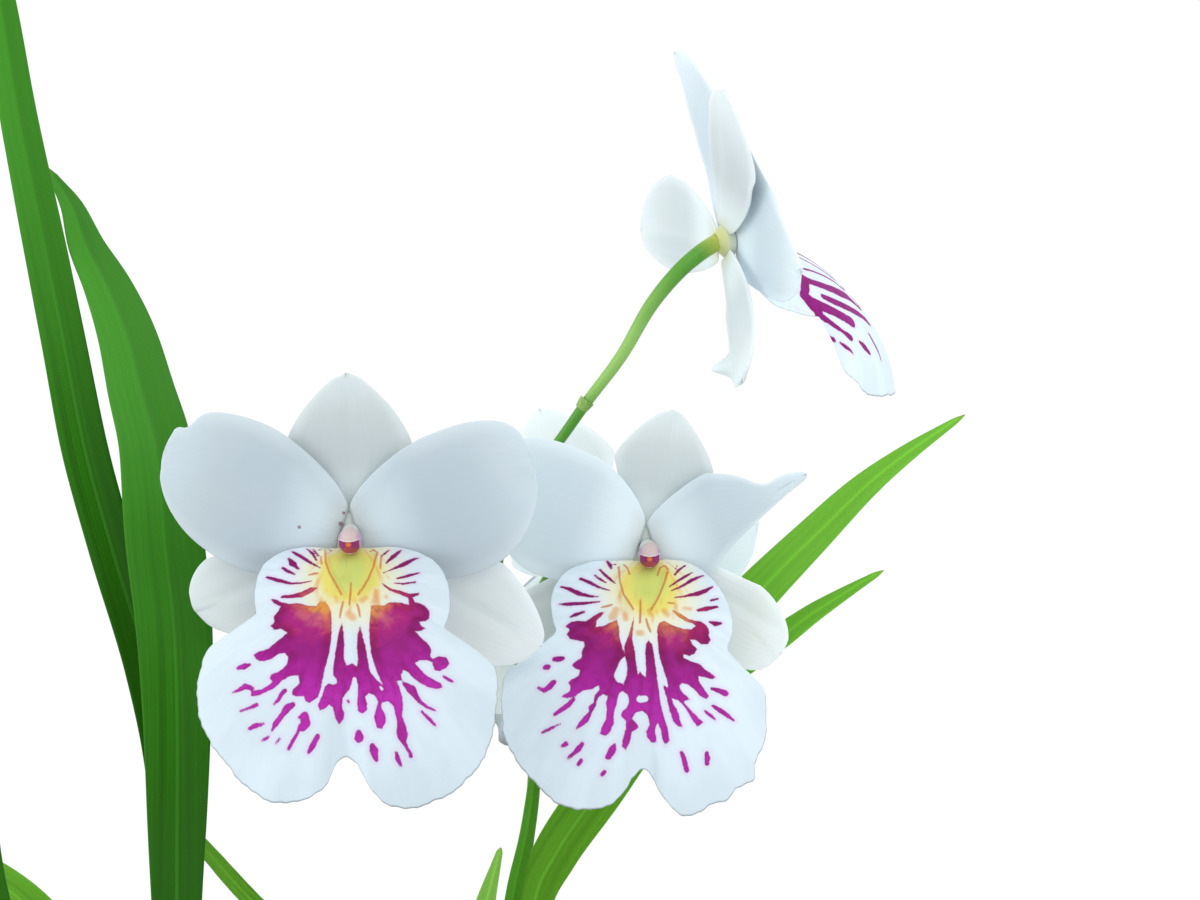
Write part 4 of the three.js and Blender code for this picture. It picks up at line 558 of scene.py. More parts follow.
class LeafSettings(bpy.types.PropertyGroup):
    """The strap leaves."""

    thickness: measure("Thickness", "Thickness at the middle of a blade", 1.0, 0.2, 3)
    deep: tint("Grown leaf", "Green of a grown leaf", (46, 116, 14))
    middle: tint("Folded leaf", "Green of the folded leaf by the stem", (76, 152, 18))
    bright: tint("Young leaf", "Green of a young leaf", (104, 176, 40))
    sheath: tint("Leaf sheath", "Green of a sheath", (120, 180, 66))


class StemSettings(bpy.types.PropertyGroup):
    """The flower stem and the stalks of the blooms."""

    stem: tint("Stem", "Green of the stem", (84, 150, 44))
    young: tint("Young stem", "Pale green of the stem above its last node", (142, 190, 96))
    low: tint("Low stem", "Green of the stem near the leaves", (80, 134, 44))
    receptacle: tint("Behind the bloom", "Yellow-green where a stalk meets its bloom", (178, 190, 84))
    bract: tint("Bract", "Colour of the papery bracts", (142, 182, 92))


class TepalSettings(bpy.types.PropertyGroup):
    """The petals and sepals."""

    thickness: measure("Thickness", "Thickness at the middle of a petal", 0.8, 0.2, 2)
    ripple: measure("Ripple", "How far the margin waves", 0.5, 0, 2)
    petal: tint("Petal", "White of the petals", (193, 209, 219))
    sepal: tint("Sepal", "White of the sepals", (202, 214, 217))
    base: tint("Sepal base", "Tint where a sepal joins", (212, 212, 150))


class LipSettings(bpy.types.PropertyGroup):
    """The marked lip."""

    thickness: measure("Thickness", "Thickness at the middle of the lip", 0.9, 0.2, 2)
    frill: measure("Frill", "Depth of the small frills on the margin", 0.15, 0, 2)
    wave: measure("Wave", "How far the margin waves", 0.55, 0, 3)
    ground: tint("Ground", "White between the marks", (204, 219, 228))
    halo: tint("Halo", "Lilac that bleeds from the marks", (206, 166, 214))
    cream: tint("Cream", "Pale ring round the callus", (216, 214, 178))
    line: tint("Lines", "Orange-brown of the fine lines", (184, 100, 46))
    callus: tint("Callus", "Yellow of the raised callus", (213, 203, 104))
    core: tint("Callus core", "Green-yellow at the middle of the callus", (190, 202, 108))
    flare: tint("Flare", "Ochre where the marks start", (206, 138, 60))
    wine: tint("Wine", "Darkest part of the marks", (122, 4, 88))
    magenta: tint("Magenta", "Main colour of the marks", (150, 18, 132))
    tip: tint("Tips", "Colour of the ends of the marks", (172, 38, 162))


class ColumnSettings(bpy.types.PropertyGroup):
    """The hooded column at the middle of a bloom."""

    cup: tint("Cup", "White where the petals join", (204, 213, 212))
    hood: tint("Hood", "Beige-pink of the hood", (200, 182, 180))
    blush: tint("Blush", "Lilac of the hood's sides", (178, 138, 184))
    throat: tint("Throat", "Wine of the hollow under the hood", (138, 40, 104))
    stigma: tint("Stigma", "Red-brown at the foot of the hollow", (168, 66, 78))
    pollen: tint("Pollen", "Orange dot under the hood", (226, 122, 58))
    back: tint("Back", "Yellow-green where the column joins the stalk", (202, 206, 140))


class StageSettings(bpy.types.PropertyGroup):
    """Floor, light and camera."""

    floor_radius: measure("Floor radius", "Radius of the round floor", 900, 200, 2000)
    floor: tint("Floor", "Colour of the floor", (236, 238, 240))
    sky: bpy.props.FloatProperty(
        name="Room light", description="Strength of the light all round", default=1.02, min=0
    )
    key: bpy.props.FloatProperty(
        name="Main light", description="Power of the large soft light", default=1.25, min=0, unit="POWER"
    )
    fill: bpy.props.FloatProperty(
        name="Side light", description="Power of the light from the left", default=1.1, min=0, unit="POWER"
    )


class OrchidSettings(bpy.types.PropertyGroup):
    """All the settings of the plant."""

    pot: bpy.props.PointerProperty(type=PotSettings)
    bark: bpy.props.PointerProperty(type=BarkSettings)
    bulb: bpy.props.PointerProperty(type=BulbSettings)
    leaf: bpy.props.PointerProperty(type=LeafSettings)
    stem: bpy.props.PointerProperty(type=StemSettings)
    tepal: bpy.props.PointerProperty(type=TepalSettings)
    lip: bpy.props.PointerProperty(type=LipSettings)
    column: bpy.props.PointerProperty(type=ColumnSettings)
    stage: bpy.props.PointerProperty(type=StageSettings)


# ---- Curves and grids ----
def smooth_through(rows, x):
    """Smooth values at x through sorted (x, value) rows, without overshoot."""
    rows = np.asarray(rows, float)
    at, value = rows[:, 0], rows[:, 1]
    step = np.diff(at)
    slope = np.diff(value) / step
    tangent = np.empty_like(value)
    tangent[0], tangent[-1] = slope[0], slope[-1]
    product = slope[:-1] * slope[1:]
    total = np.where(product > 0, slope[:-1] + slope[1:], 1.0)
    tangent[1:-1] = np.where(product > 0, 2 * product / total, 0.0)
    x = np.clip(x, at[0], at[-1])
    i = np.clip(np.searchsorted(at, x, side="right") - 1, 0, len(step) - 1)
    t = (x - at[i]) / step[i]
    return (value[i] * (1 + 2 * t) * (1 - t) ** 2 + value[i + 1] * t * t * (3 - 2 * t)
            + step[i] * (tangent[i] * t * (1 - t) ** 2 - tangent[i + 1] * t * t * (1 - t)))


def even_steps(values, share):
    """Smooth values at shares of the way through values that stand at even steps."""
    return smooth_through([(k / (len(values) - 1), v) for k, v in enumerate(values)], share)


def around(count):
    """`count` even angles of one whole turn."""
    return np.linspace(0, 2 * math.pi, count, endpoint=False)


def curve_through(path, count):
    """`count` points at even lengths along a smooth curve through `path`, and the way it runs at each."""
    path = np.asarray(path, float)
    ends = np.vstack([2 * path[0] - path[1], path, 2 * path[-1] - path[-2]])
    gaps = np.maximum(np.linalg.norm(np.diff(ends, axis=0), axis=1) ** 0.5, 1e-4)
    dense = []
    for i in range(1, len(ends) - 2):
        before, here, after = gaps[i - 1], gaps[i], gaps[i + 1]
        a, b, c, d = ends[i - 1], ends[i], ends[i + 1], ends[i + 2]
        leave = ((b - a) / before - (c - a) / (before + here) + (c - b) / here) * here
        arrive = ((c - b) / here - (d - b) / (here + after) + (d - c) / after) * here
        t = np.linspace(0, 1, 80, endpoint=i == len(ends) - 3)[:, None]
        bend, twist = -3 * b + 3 * c - 2 * leave - arrive, 2 * b - 2 * c + leave + arrive
        dense.append(b + leave * t + bend * t**2 + twist * t**3)
    dense = np.vstack(dense)
    length = np.concatenate([[0], np.cumsum(np.linalg.norm(np.diff(dense, axis=0), axis=1))])
    at = np.linspace(0, length[-1], count)
    points = np.stack([np.interp(at, length, dense[:, k]) for k in range(3)], axis=1)
    return points, unit(np.gradient(points, axis=0))


def unit(vectors):
    """The same directions at length one."""
    return vectors / np.maximum(np.linalg.norm(vectors, axis=-1, keepdims=True), 1e-12)


def ripples(x, waves, rng):
    """A soft uneven wave of about -1 to 1 along x, made of a few wavelengths."""
    turn = 2 * math.pi
    return sum(np.sin(turn * x / w + rng.uniform(0, turn)) * rng.uniform(0.6, 1) for w in waves) / len(waves)


def smoothstep(low, high, x):
    """0 below `low`, 1 above `high` and a soft step between."""
    t = np.clip((x - low) / (high - low), 0, 1)
    return t * t * (3 - 2 * t)


class Shells:
    """The shells of one piece: points in millimetres, faces, and values at the points for its finish."""

    def __init__(self):
        self.points, self.faces, self.values, self.count = [], [], {}, 0

    def add(self, points, faces, **values):
        """Adds a shell. Faces count from its own first point."""
        points = np.asarray(points, float).reshape(-1, 3)
        self.points.append(points)
        for face_set in faces:
            self.faces.append(np.asarray(face_set, np.int64) + self.count)
        for name, value in values.items():
            value = np.broadcast_to(np.asarray(value, float).ravel(), len(points))
            self.values.setdefault(name, []).append(value)
        self.count += len(points)


def grid_faces(rows, columns, closed=False, start=0, flip=False):
    """Four-cornered faces of a grid of rows by columns. A closed one joins its last column to its first."""
    r = np.arange(rows - 1)[:, None]
    c = np.arange(columns if closed else columns - 1)[None, :]
    n = (c + 1) % columns
    corners = [r * columns + c, (r + 1) * columns + c, (r + 1) * columns + n, r * columns + n]
    faces = np.stack([np.broadcast_to(k, (rows - 1, c.shape[1])) for k in corners], -1).reshape(-1, 4) + start
    return faces[:, ::-1] if flip else faces


def fan_faces(hub, ring, flip=False):
    """Triangles from one hub point to a closed ring of points."""
    ring = np.asarray(ring)
    faces = np.stack([np.full(len(ring), hub), ring, np.roll(ring, -1)], -1)
    return faces[:, ::-1] if flip else faces


def tube_faces(rings, sides):
    """Faces of a tube of rings, closed by one more point below its first ring and one above its last."""
    count = rings * sides
    return [
        grid_faces(rings, sides, closed=True, flip=True),
        fan_faces(count, np.arange(sides), flip=True),
        fan_faces(count + 1, count - sides + np.arange(sides)),
    ]


def blade_shell(middle, half_thickness, normals=None, **values):
    """A closed lens-edged sheet round a grid of middle points: its points, faces and values."""
    rows, columns, _ = middle.shape
    if normals is None:
        normals = unit(np.cross(np.gradient(middle, axis=0), np.gradient(middle, axis=1)))
    u = np.linspace(-1, 1, rows)[:, None]
    v = np.linspace(-1, 1, columns)[None, :]
    round_off = np.sqrt(np.clip(1 - np.abs(v) ** 14, 0, 1)) * np.sqrt(np.clip(1 - np.abs(u) ** 40, 0, 1))
    offset = normals * (half_thickness * round_off)[..., None]
    place = np.arange(rows * columns).reshape(rows, columns)
    under = place.copy()
    under[1:-1, 1:-1] = rows * columns + np.arange((rows - 2) * (columns - 2)).reshape(rows - 2, columns - 2)
    points = np.vstack([(middle + offset).reshape(-1, 3), (middle - offset)[1:-1, 1:-1].reshape(-1, 3)])
    top = grid_faces(rows, columns)
    bottom = under.ravel()[top][:, ::-1]
    cells = np.concatenate([place.ravel(), place[1:-1, 1:-1].ravel()])
    values = {name: np.broadcast_to(value, place.shape).ravel()[cells] for name, value in values.items()}
    return points, [top, bottom], values


def rod_shell(path, radii, steps, sides=ROD_SIDES, ribs=0.0):
    """A round rod along a smooth path, closed at both ends: its points, faces and share of its length."""
    centres, along = curve_through(path, steps)
    share = np.linspace(0, 1, steps)
    radius = even_steps(radii, share)
    normal = unit(np.cross(along[0], (0.3, -1, 0.2)))
    rings = []
    for i in range(steps):
        normal = unit(normal - along[i] * np.dot(normal, along[i]))
        other = np.cross(along[i], normal)
        a = around(sides)[:, None]
        r = radius[i] * (1 + ribs * np.cos(6 * a))
        rings.append(centres[i] + normal * np.cos(a) * r + other * np.sin(a) * r)
    points = np.vstack([*rings, centres[:1], centres[-1:]])
    return points, tube_faces(steps, sides), np.concatenate([np.repeat(share, sides), [0, 1]])


def lathe_shell(profile, sides):
    """A shape turned about +Z from (radius, height) points that start and end on the axis."""
    profile = np.asarray(profile, float)
    a = around(sides)
    rings = profile[1:-1]
    points = np.stack(
        [rings[:, :1] * np.cos(a), rings[:, :1] * np.sin(a), np.repeat(rings[:, 1:], sides, axis=1)], -1
    ).reshape(-1, 3)
    points = np.vstack([points, [(0, 0, profile[0, 1]), (0, 0, profile[-1, 1])]])
    return points, tube_faces(len(rings), sides)


def post_profile(radius, low, high):
    """The profile of a plain upright post."""
    return [(0, low), (radius, low), (radius, high), (0, high)]


def moved(points, matrix):
    """Points taken through a 4x4 matrix."""
    matrix = np.array(matrix)
    return np.asarray(points) @ matrix[:3, :3].T + matrix[:3, 3]


# ---- Finishes ----
class Finish:
    """A node material under construction. Its fixed values go straight onto the shader's own sockets."""

    def __init__(self, name, **fixed):
        self.material = bpy.data.materials.new(name)
        self.material.use_nodes = True
        self.tree = self.material.node_tree
        self.shader = self.tree.nodes["Principled BSDF"]
        for socket, value in fixed.items():
            self.shader.inputs[socket.replace("_", " ")].default_value = value
        self.coordinates = self.node("TexCoord").outputs["Object"]

    def feed(self, socket, value):
        """Links an output into a socket, or writes a plain value on it."""
        if isinstance(value, bpy.types.NodeSocket):
            self.tree.links.new(value, socket)
        elif hasattr(socket, "default_value"):
            socket.default_value = (*value, 1) if socket.type == "RGBA" and len(value) == 3 else value

    def node(self, kind, *values, **settings):
        """A new node with its settings, and with links or plain values for its first sockets."""
        node = self.tree.nodes.new("ShaderNode" + kind)
        for name, setting in settings.items():
            setattr(node, name, setting)
        for socket, value in zip(node.inputs, values):
            self.feed(socket, value)
        return node

    def value(self, name):
        """A value stored at the points of the piece."""
        return self.node("Attribute", attribute_name=name).outputs["Fac"]

    def sum(self, operation, first, second=0.0):
        """One arithmetic step."""
        return self.node("Math", first, second, operation=operation).outputs[0]

    def plus(self, first, second):
        """Two values added."""
        return self.sum("ADD", first, second)

    def times(self, first, second):
        """Two values multiplied."""
        return self.sum("MULTIPLY", first, second)

    def ridges(self, value, sharpness):
        """Ridges of 0 to 1 that repeat along a value, narrower the sharper they are."""
        return self.sum("POWER", self.sum("ABSOLUTE", self.sum("SINE", value)), sharpness)

    def spread(self, value, low, high, to_low=0.0, to_high=1.0):
        """Maps low..high softly to another span."""
        node = self.node("MapRange", value, low, high, to_low, to_high, interpolation_type="SMOOTHSTEP")
        return node.outputs[0]

    def blend(self, share, first, second, kind="MIX"):
        """Mixes two colours."""
        node = self.node("Mix", share, data_type="RGBA", blend_type=kind)
        self.feed(node.inputs[6], first)
        self.feed(node.inputs[7], second)
        return node.outputs[2]

    def layered(self, tone, *layers):
        """Lays colours over a tone, each by a share of 0 to 1, or where a value runs through a spread."""
        for colour, value, *span in layers:
            tone = self.blend(self.spread(value, *span) if span else value, tone, colour)
        return tone

    def painted_light(self, tone):
        """Painted light and shade: a colour made paler or deeper by the `light` of each piece."""
        light = self.value("light")
        return self.blend(1.0, tone, self.vector(light, light, light), "MULTIPLY")

    def noise(self, scale, detail=3.0, stretch=(1, 1, 1), coordinates=None):
        """Cloudy noise; `scale` is in bumps a metre."""
        source = coordinates or self.coordinates
        if stretch != (1, 1, 1):
            mapping = self.node("Mapping", source)
            mapping.inputs["Scale"].default_value = stretch
            source = mapping.outputs[0]
        node = self.node("TexNoise", source)
        node.inputs["Scale"].default_value = scale
        node.inputs["Detail"].default_value = detail
        return node.outputs["Fac"]

    def swing(self, noise, width):
        """Noise made to swing about zero."""
        return self.times(self.sum("SUBTRACT", noise, 0.5), width)

    def grown(self, detail, x, x_scale, y, y_scale, offset=0.0):
        """Noise laid out along two stored values, so that it follows the growth of the piece."""
        place = self.vector(self.times(x, x_scale), self.times(y, y_scale), offset)
        return self.noise(1.0, detail, coordinates=place)

    def distance(self, place):
        """Distance in metres from an (x, z) place in millimetres, as seen along y."""
        flat = self.node("VectorMath", self.coordinates, (1, 0, 1), operation="MULTIPLY").outputs[0]
        at = (place[0] * MM, 0, place[1] * MM)
        return self.node("VectorMath", flat, at, operation="DISTANCE").outputs["Value"]

    def vector(self, x, y, z=0.0):
        """Three values as coordinates."""
        return self.node("CombineXYZ", x, y, z).outputs[0]

    def ramp(self, value, stops):
        """A colour from a value through (place, colour) stops."""
        node = self.node("ValToRGB", value)
        elements = node.color_ramp.elements
        while len(elements) < len(stops):
            elements.new(0.5)
        for element, (place, colour) in zip(elements, stops):
            element.position = place
            element.color = (*colour, 1)
        return node.outputs[0]

    def done(self, colour, height=None, depth=0.1, roughness=None):
        """Sets the colour, the relief in millimetres and the roughness, and returns the material."""
        self.feed(self.shader.inputs["Base Color"], colour)
        if roughness is not None:
            self.feed(self.shader.inputs["Roughness"], roughness)
        if height is not None:
            bump = self.node("Bump")
            bump.inputs["Strength"].default_value = 1.0
            bump.inputs["Distance"].default_value = depth * MM
            self.feed(bump.inputs["Height"], height)
            self.tree.links.new(bump.outputs[0], self.shader.inputs["Normal"])
        return self.material


def scaled(colour, factor):
    """A colour made lighter or darker, kept within range."""
    return tuple(min(1.0, c * factor) for c in colour)


def tepal_finish(name, white, base, cream):
    """Satin petal tissue: the faintest veins, painted shade that deepens it below its middle, and painted
    light at its very foot, its edge and its tip.
    """
    f = Finish(name, Roughness=0.5, Specular_IOR_Level=0.22, Subsurface_Weight=0.4, Subsurface_Scale=0.004,
               Subsurface_Radius=(1, 1, 1))
    along, edge = f.value("along"), f.sum("ABSOLUTE", f.value("across"))
    vein = f.ridges(f.plus(f.times(f.value("fan"), 1.7), f.times(f.noise(300, 2), 1.4)), 5.0)
    grain, cloud = f.noise(2600, 4), f.noise(60, 2)
    # Painted light and shade: `pale` lightens the foot, the edge and the tip, and `shaded` deepens it below
    # the middle.
    pale, shaded = scaled(white, 1.3), tuple(c * k for c, k in zip(white, (0.86, 0.87, 0.9)))
    tone = f.layered(
        white,
        (scaled(white, 0.8), f.times(vein, f.spread(along, 0.05, 1.0, 0.06, 0.012))),
        (cream, cloud, 0.35, 0.75, 0, 0.4),
        (shaded, along, 0.8, 0.5, 0, 0.5),
        (pale, along, 0.42, 0.12, 0, 0.9),
        (base, along, 0.0, 0.14, 0.5, 0.0),
        (pale, edge, 0.72, 1.0, 0, 0.5),
        (pale, along, 0.68, 1.0, 0, 0.65),
        *[(FRECKLE, f.distance((x, z)), r * MM, r * 0.5 * MM, 0, 0.8) for x, z, r in FRECKLES],
    )
    return f.done(f.painted_light(tone), f.plus(f.times(vein, 0.3), f.times(grain, 0.3)), 0.035)


def lip_finish(s):
    """The lip: white ground under painted shade and light, yellow callus, and rays from ochre through wine to
    magenta.
    """
    f = Finish("orchid_lip", Roughness=0.55, Specular_IOR_Level=0.16)
    ink, callus, fan = f.value("ink"), f.value("callus"), f.value("fan")
    rough_edge = f.swing(f.noise(1500, 3), 0.35)
    mottle, cores = f.noise(900, 4), f.noise(420, 3)
    vein = f.ridges(f.plus(f.times(fan, 46), mottle), 8.0)
    rim = f.plus(callus, f.swing(f.noise(500, 3), 0.4))
    streak = f.grown(2, f.value("beam"), 7.5, callus, 1.3)
    # Painted shade: soft darker bands across the ground, along its fan, stand in for the shading of its
    # waves.
    painted_fold_shade = f.grown(2, fan, 4.5, callus, 0.35, 3.0)
    fibre = f.grown(3, fan, 13, callus, 0.9, 7.0)
    flares = f.times(f.spread(streak, 0.5, 0.66), f.spread(rim, 0.35, 0.95))
    ground = f.layered(
        s.ground,
        (scaled(s.ground, 0.7), f.times(vein, 0.03)),
        (s.halo, ink, 1.1, 0.0, 0.0, 0.32),
        (scaled(s.ground, 0.88), painted_fold_shade, 0.4, 0.62, 0, 0.5),
        (s.cream, rim, 2.1, 1.1, 0, 0.85),
        (s.callus, rim, 1.2, 0.75),
        (s.core, rim, 0.8, 0.35, 0, 0.9),
        (s.flare, f.times(flares, f.spread(rim, 1.35, 1.05, 0, 0.6))),
    )
    stops = [(0.0, s.flare), (0.22, s.flare), (0.31, RAY_RUST), (0.4, RAY_CLARET), (0.53, s.wine),
             (0.72, s.magenta), (0.92, s.tip), (1.0, s.tip)]
    ray = f.layered(
        f.ramp(f.plus(f.sum("DIVIDE", f.value("tone"), 32.0), f.swing(cores, 0.26)), stops),
        (scaled(s.wine, 0.9), fibre, 0.48, 0.68, 0, 0.42),
        (scaled(s.wine, 0.8), mottle, 0.5, 0.72, 0, 0.3),
        (s.wine, ink, -0.5, 0.0, 0, 0.3),
        (s.tip, ink, -0.8, -2.2, 0, 0.25),
    )
    # The ground takes each lip's painted light and shade.
    colour = f.layered(
        f.painted_light(ground),
        (ray, f.plus(ink, rough_edge), 0.14, -0.14),
        (s.flare, f.plus(f.value("spot"), rough_edge), 0.45, -0.45, 0, 0.6),
        (s.line, f.value("line"), 0.22, -0.08, 0, 0.8),
    )
    return f.done(colour, f.plus(f.times(vein, 0.25), f.times(mottle, 0.35)), 0.06)


def column_finish(s):
    """The column: beige-pink hood with lilac sides and a white rim, wine stigma with an orange middle."""
    f = Finish("orchid_column", Roughness=0.5, Specular_IOR_Level=0.3, Subsurface_Weight=0.1,
               Subsurface_Scale=0.001)
    mottle = f.noise(1800, 3)
    colour = f.layered(
        s.hood,
        (scaled(s.hood, 0.85), mottle, 0.35, 0.7, 0, 0.3),
        (s.blush, f.value("blush"), 0.2, 1.0, 0, 0.8),
        (s.cup, f.value("cup")),
        (s.throat, f.value("throat"), 0.2, 0.7),
        (s.stigma, f.value("low"), 0.2, 0.9, 0, 0.9),
        (s.pollen, f.value("dot"), 0.3, 0.8),
        (HOOD_RIM, f.value("rim"), 0.35, 0.9, 0, 0.7),
        (s.back, f.value("back")),
    )
    return f.done(colour, mottle, 0.05)


def leaf_finish(name, green, gloss, lift, low, shade):
    """Leaf blade: fine parallel veins and a pale keel, lighter above, deeper below, with painted shade on its
    right half.
    """
    f = Finish(name, Roughness=gloss, Specular_IOR_Level=0.1)
    along, across, wide = f.value("along"), f.value("across"), f.value("wide")
    streak, fine = f.grown(2, wide, 0.9, along, 1.6), f.grown(2, wide, 3.2, along, 5.0, 4.0)
    vein = f.ridges(f.times(wide, 5.2), 4.0)
    light, dark = tuple(min(1, 1.5 * c + 0.012) for c in green), scaled(green, 0.66)
    tone = f.layered(
        dark,
        (green, streak, 0.32, 0.66),
        (light, fine, 0.5, 0.8, 0, 0.15),
        (dark, f.times(vein, 0.05)),
        (tuple(min(1, lift * c + 0.02) for c in green), along, 0.4, 0.85, 0, 0.75),
        (scaled(green, low), along, 0.52, 0.2, 0, 0.75),
        # Painted shade: the blade's right half is darker, by `shade`.
        (scaled(green, 0.6), across, -0.1, 0.1, 0, shade),
        (light, f.sum("ABSOLUTE", wide), 0.55, 0.1, 0, 0.45),
        (light, f.sum("ABSOLUTE", across), 0.96, 0.99, 0, 0.25),
        (LEAF_FOOT, along, 0.16, 0.0, 0, 0.6),
        (LEAF_END, along, 0.985, 1.0, 0, 0.5),
    )
    relief = f.plus(f.times(vein, -0.4), f.times(fine, 0.4))
    return f.done(tone, relief, 0.05, f.spread(streak, 0.3, 0.7, gloss - 0.05, gloss + 0.05))


def stem_finish(s):
    """Flower stem: fine lengthwise lines, deeper low down, yellow-green behind each bloom, papery bracts."""
    f = Finish("orchid_stem", Roughness=0.4, Specular_IOR_Level=0.35)
    swell, cloud, fine = f.value("swell"), f.noise(120, 2), f.noise(1700, 3, (1, 1, 0.12))
    stops = [(0.1, s.low), (0.7, s.stem), (0.78, s.stem), (0.8, s.young), (0.87, s.young), (0.95, s.stem)]
    tone = f.layered(
        f.ramp(swell, stops),
        (scaled(s.stem, 0.8), cloud, 0.3, 0.7, 0.25, 0),
        (scaled(s.stem, 1.5), fine, 0.5, 0.8, 0, 0.2),
        (s.receptacle, swell, 0.97, 1.0),
        (f.layered(s.bract, (scaled(s.bract, 0.7), fine, 0.4, 0.7)), f.value("papery")),
    )
    return f.done(tone, fine, 0.06)


def bulb_finish(s):
    """Pseudobulb skin with a dry papery sheath round its foot."""
    f = Finish("orchid_bulb", Roughness=0.42, Specular_IOR_Level=0.35)
    height, papery = f.value("height"), f.value("papery")
    cloud, fibre = f.noise(140, 4), f.noise(900, 4, (1, 1, 0.1))
    dry = f.layered(scaled(s.scale, 0.5), (s.scale, fibre, 0.35, 0.7))
    tone = f.layered(
        scaled(s.skin, 0.62),
        (s.skin, cloud, 0.3, 0.75),
        (BULB_CROWN, height, 0.55, 1.0, 0, 0.5),
        (dry, f.sum("MAXIMUM", papery, f.spread(height, 0.12, -0.05, 0, 0.8))),
    )
    return f.done(tone, fibre, 0.25, f.spread(papery, 0.4, 0.6, 0.42, 0.8))


def bark_finish(s):
    """Damp and dry bark, each chip its own tone, with corky layers."""
    f = Finish("orchid_bark", Roughness=0.9, Specular_IOR_Level=0.2)
    layers, grit = f.noise(420, 5, (1, 1, 3.5)), f.noise(1900, 4)
    dryness = f.plus(f.times(f.value("chip"), 0.6), f.times(layers, 0.6))
    tone = f.layered(s.dark, (s.pale, dryness, 0.25, 0.95), (scaled(s.dark, 0.45), grit, 0.55, 0.8, 0, 0.5))
    return f.done(tone, f.plus(layers, f.times(grit, 0.5)), 0.7)


def clay_finish(s):
    """Fired clay with turning rings, specks and a pale salt bloom near its foot and rim."""
    f = Finish("orchid_clay", Roughness=0.88, Specular_IOR_Level=0.25)
    level = f.value("level")
    cloud, speck, rings = f.noise(38, 5), f.noise(1500, 3), f.noise(260, 3, (0.05, 0.05, 1))
    ends = f.sum("MAXIMUM", f.spread(level, 0.3, 0.0, 0.15, 0.8), f.spread(level, 0.8, 1.0, 0.1, 0.6))
    salt = f.times(f.spread(f.plus(cloud, f.times(speck, 0.3)), 0.55, 0.85), ends)
    tone = f.layered(
        scaled(s.clay, 0.82),
        (s.clay, cloud, 0.35, 0.7),
        (s.bloom, salt),
        (scaled(s.clay, 0.5), speck, 0.66, 0.78, 0, 0.4),
    )
    return f.done(tone, f.plus(f.times(rings, 0.8), f.times(speck, 0.5)), 0.35)


# ---- Making a piece ----
def add_piece(name, shells, material, slot, *nodes):
    """Turns gathered shells into one smooth piece that rides with the plant and stands for CAD nodes."""
    points = np.vstack(shells.points) * MM
    triangles = [f for f in shells.faces if f.shape[1] == 3]
    squares = [f for f in shells.faces if f.shape[1] == 4]
    sets = [np.vstack(s) for s in (triangles, squares) if s]
    corners = np.concatenate([s.ravel() for s in sets]).astype(np.int32)
    sizes = np.concatenate([np.full(len(s), s.shape[1]) for s in sets]).astype(np.int32)
    mesh = bpy.data.meshes.new(name)
    mesh.vertices.add(len(points))
    mesh.vertices.foreach_set("co", points.astype(np.float32).ravel())
    mesh.loops.add(len(corners))
    mesh.loops.foreach_set("vertex_index", corners)
    mesh.polygons.add(len(sizes))
    mesh.polygons.foreach_set("loop_start", np.concatenate([[0], np.cumsum(sizes)[:-1]]).astype(np.int32))
    mesh.polygons.foreach_set("use_smooth", np.ones(len(sizes), bool))
    mesh.update(calc_edges=True)
    if mesh.validate():
        raise RuntimeError(f"{name} has faces that don't hold together")
    for value_name, parts in shells.values.items():
        layer = mesh.attributes.new(value_name, "FLOAT", "POINT")
        layer.data.foreach_set("value", np.concatenate(parts).astype(np.float32))
    mesh.materials.append(material)
    piece = bpy.data.objects.new(name, mesh)
    bpy.context.scene.collection.objects.link(piece)
    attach(piece, "root")
    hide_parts(*nodes)
    return piece


# ---- Pot, bark and pseudobulbs ----
def pot_inner_radius(s, z):
    """Inner radius of the pot wall at a height, in millimetres."""
    top = s.rim_radius / MM - POT_COLLAR_STEP
    return POT_BASE_RADIUS + (top - POT_BASE_RADIUS) * (z / (s.height / MM)) - POT_WALL


def rounded(profile, radius, steps=5):
    """A profile with its corners rounded, its two end points kept."""
    profile = np.asarray(profile, float)
    out = [profile[0]]
    for before, corner, after in zip(profile, profile[1:], profile[2:]):
        back, on = before - corner, after - corner
        reach = min(radius, 0.45 * np.linalg.norm(back), 0.45 * np.linalg.norm(on))
        first, last = corner + unit(back) * reach, corner + unit(on) * reach
        for t in np.linspace(0, 1, steps):
            out.append(first * (1 - t) ** 2 + 2 * corner * t * (1 - t) + last * t * t)
    return np.array([*out, profile[-1]])


def build_pot(s):
    """The clay pot: a turned wall with a collar and drain holes through its floor."""
    height, rim = s.height / MM, s.rim_radius / MM
    collar = height - POT_COLLAR_DEPTH
    shapes = [
        (0, 0), (POT_BASE_RADIUS - POT_BEVEL, 0), (pot_inner_radius(s, collar) + POT_WALL, collar),
        (rim - 0.6, collar + 0.8), (rim, height), (pot_inner_radius(s, height), height),
        (pot_inner_radius(s, POT_FLOOR), POT_FLOOR), (0, POT_FLOOR),
    ]
    shells = Shells()
    points, faces = lathe_shell(rounded(shapes, POT_ROUNDING), POT_SIDES)
    shells.add(points, faces, level=points[:, 2] / height)
    cut_drains(add_piece("clay_pot", shells, clay_finish(s), "terracotta", "pot"))


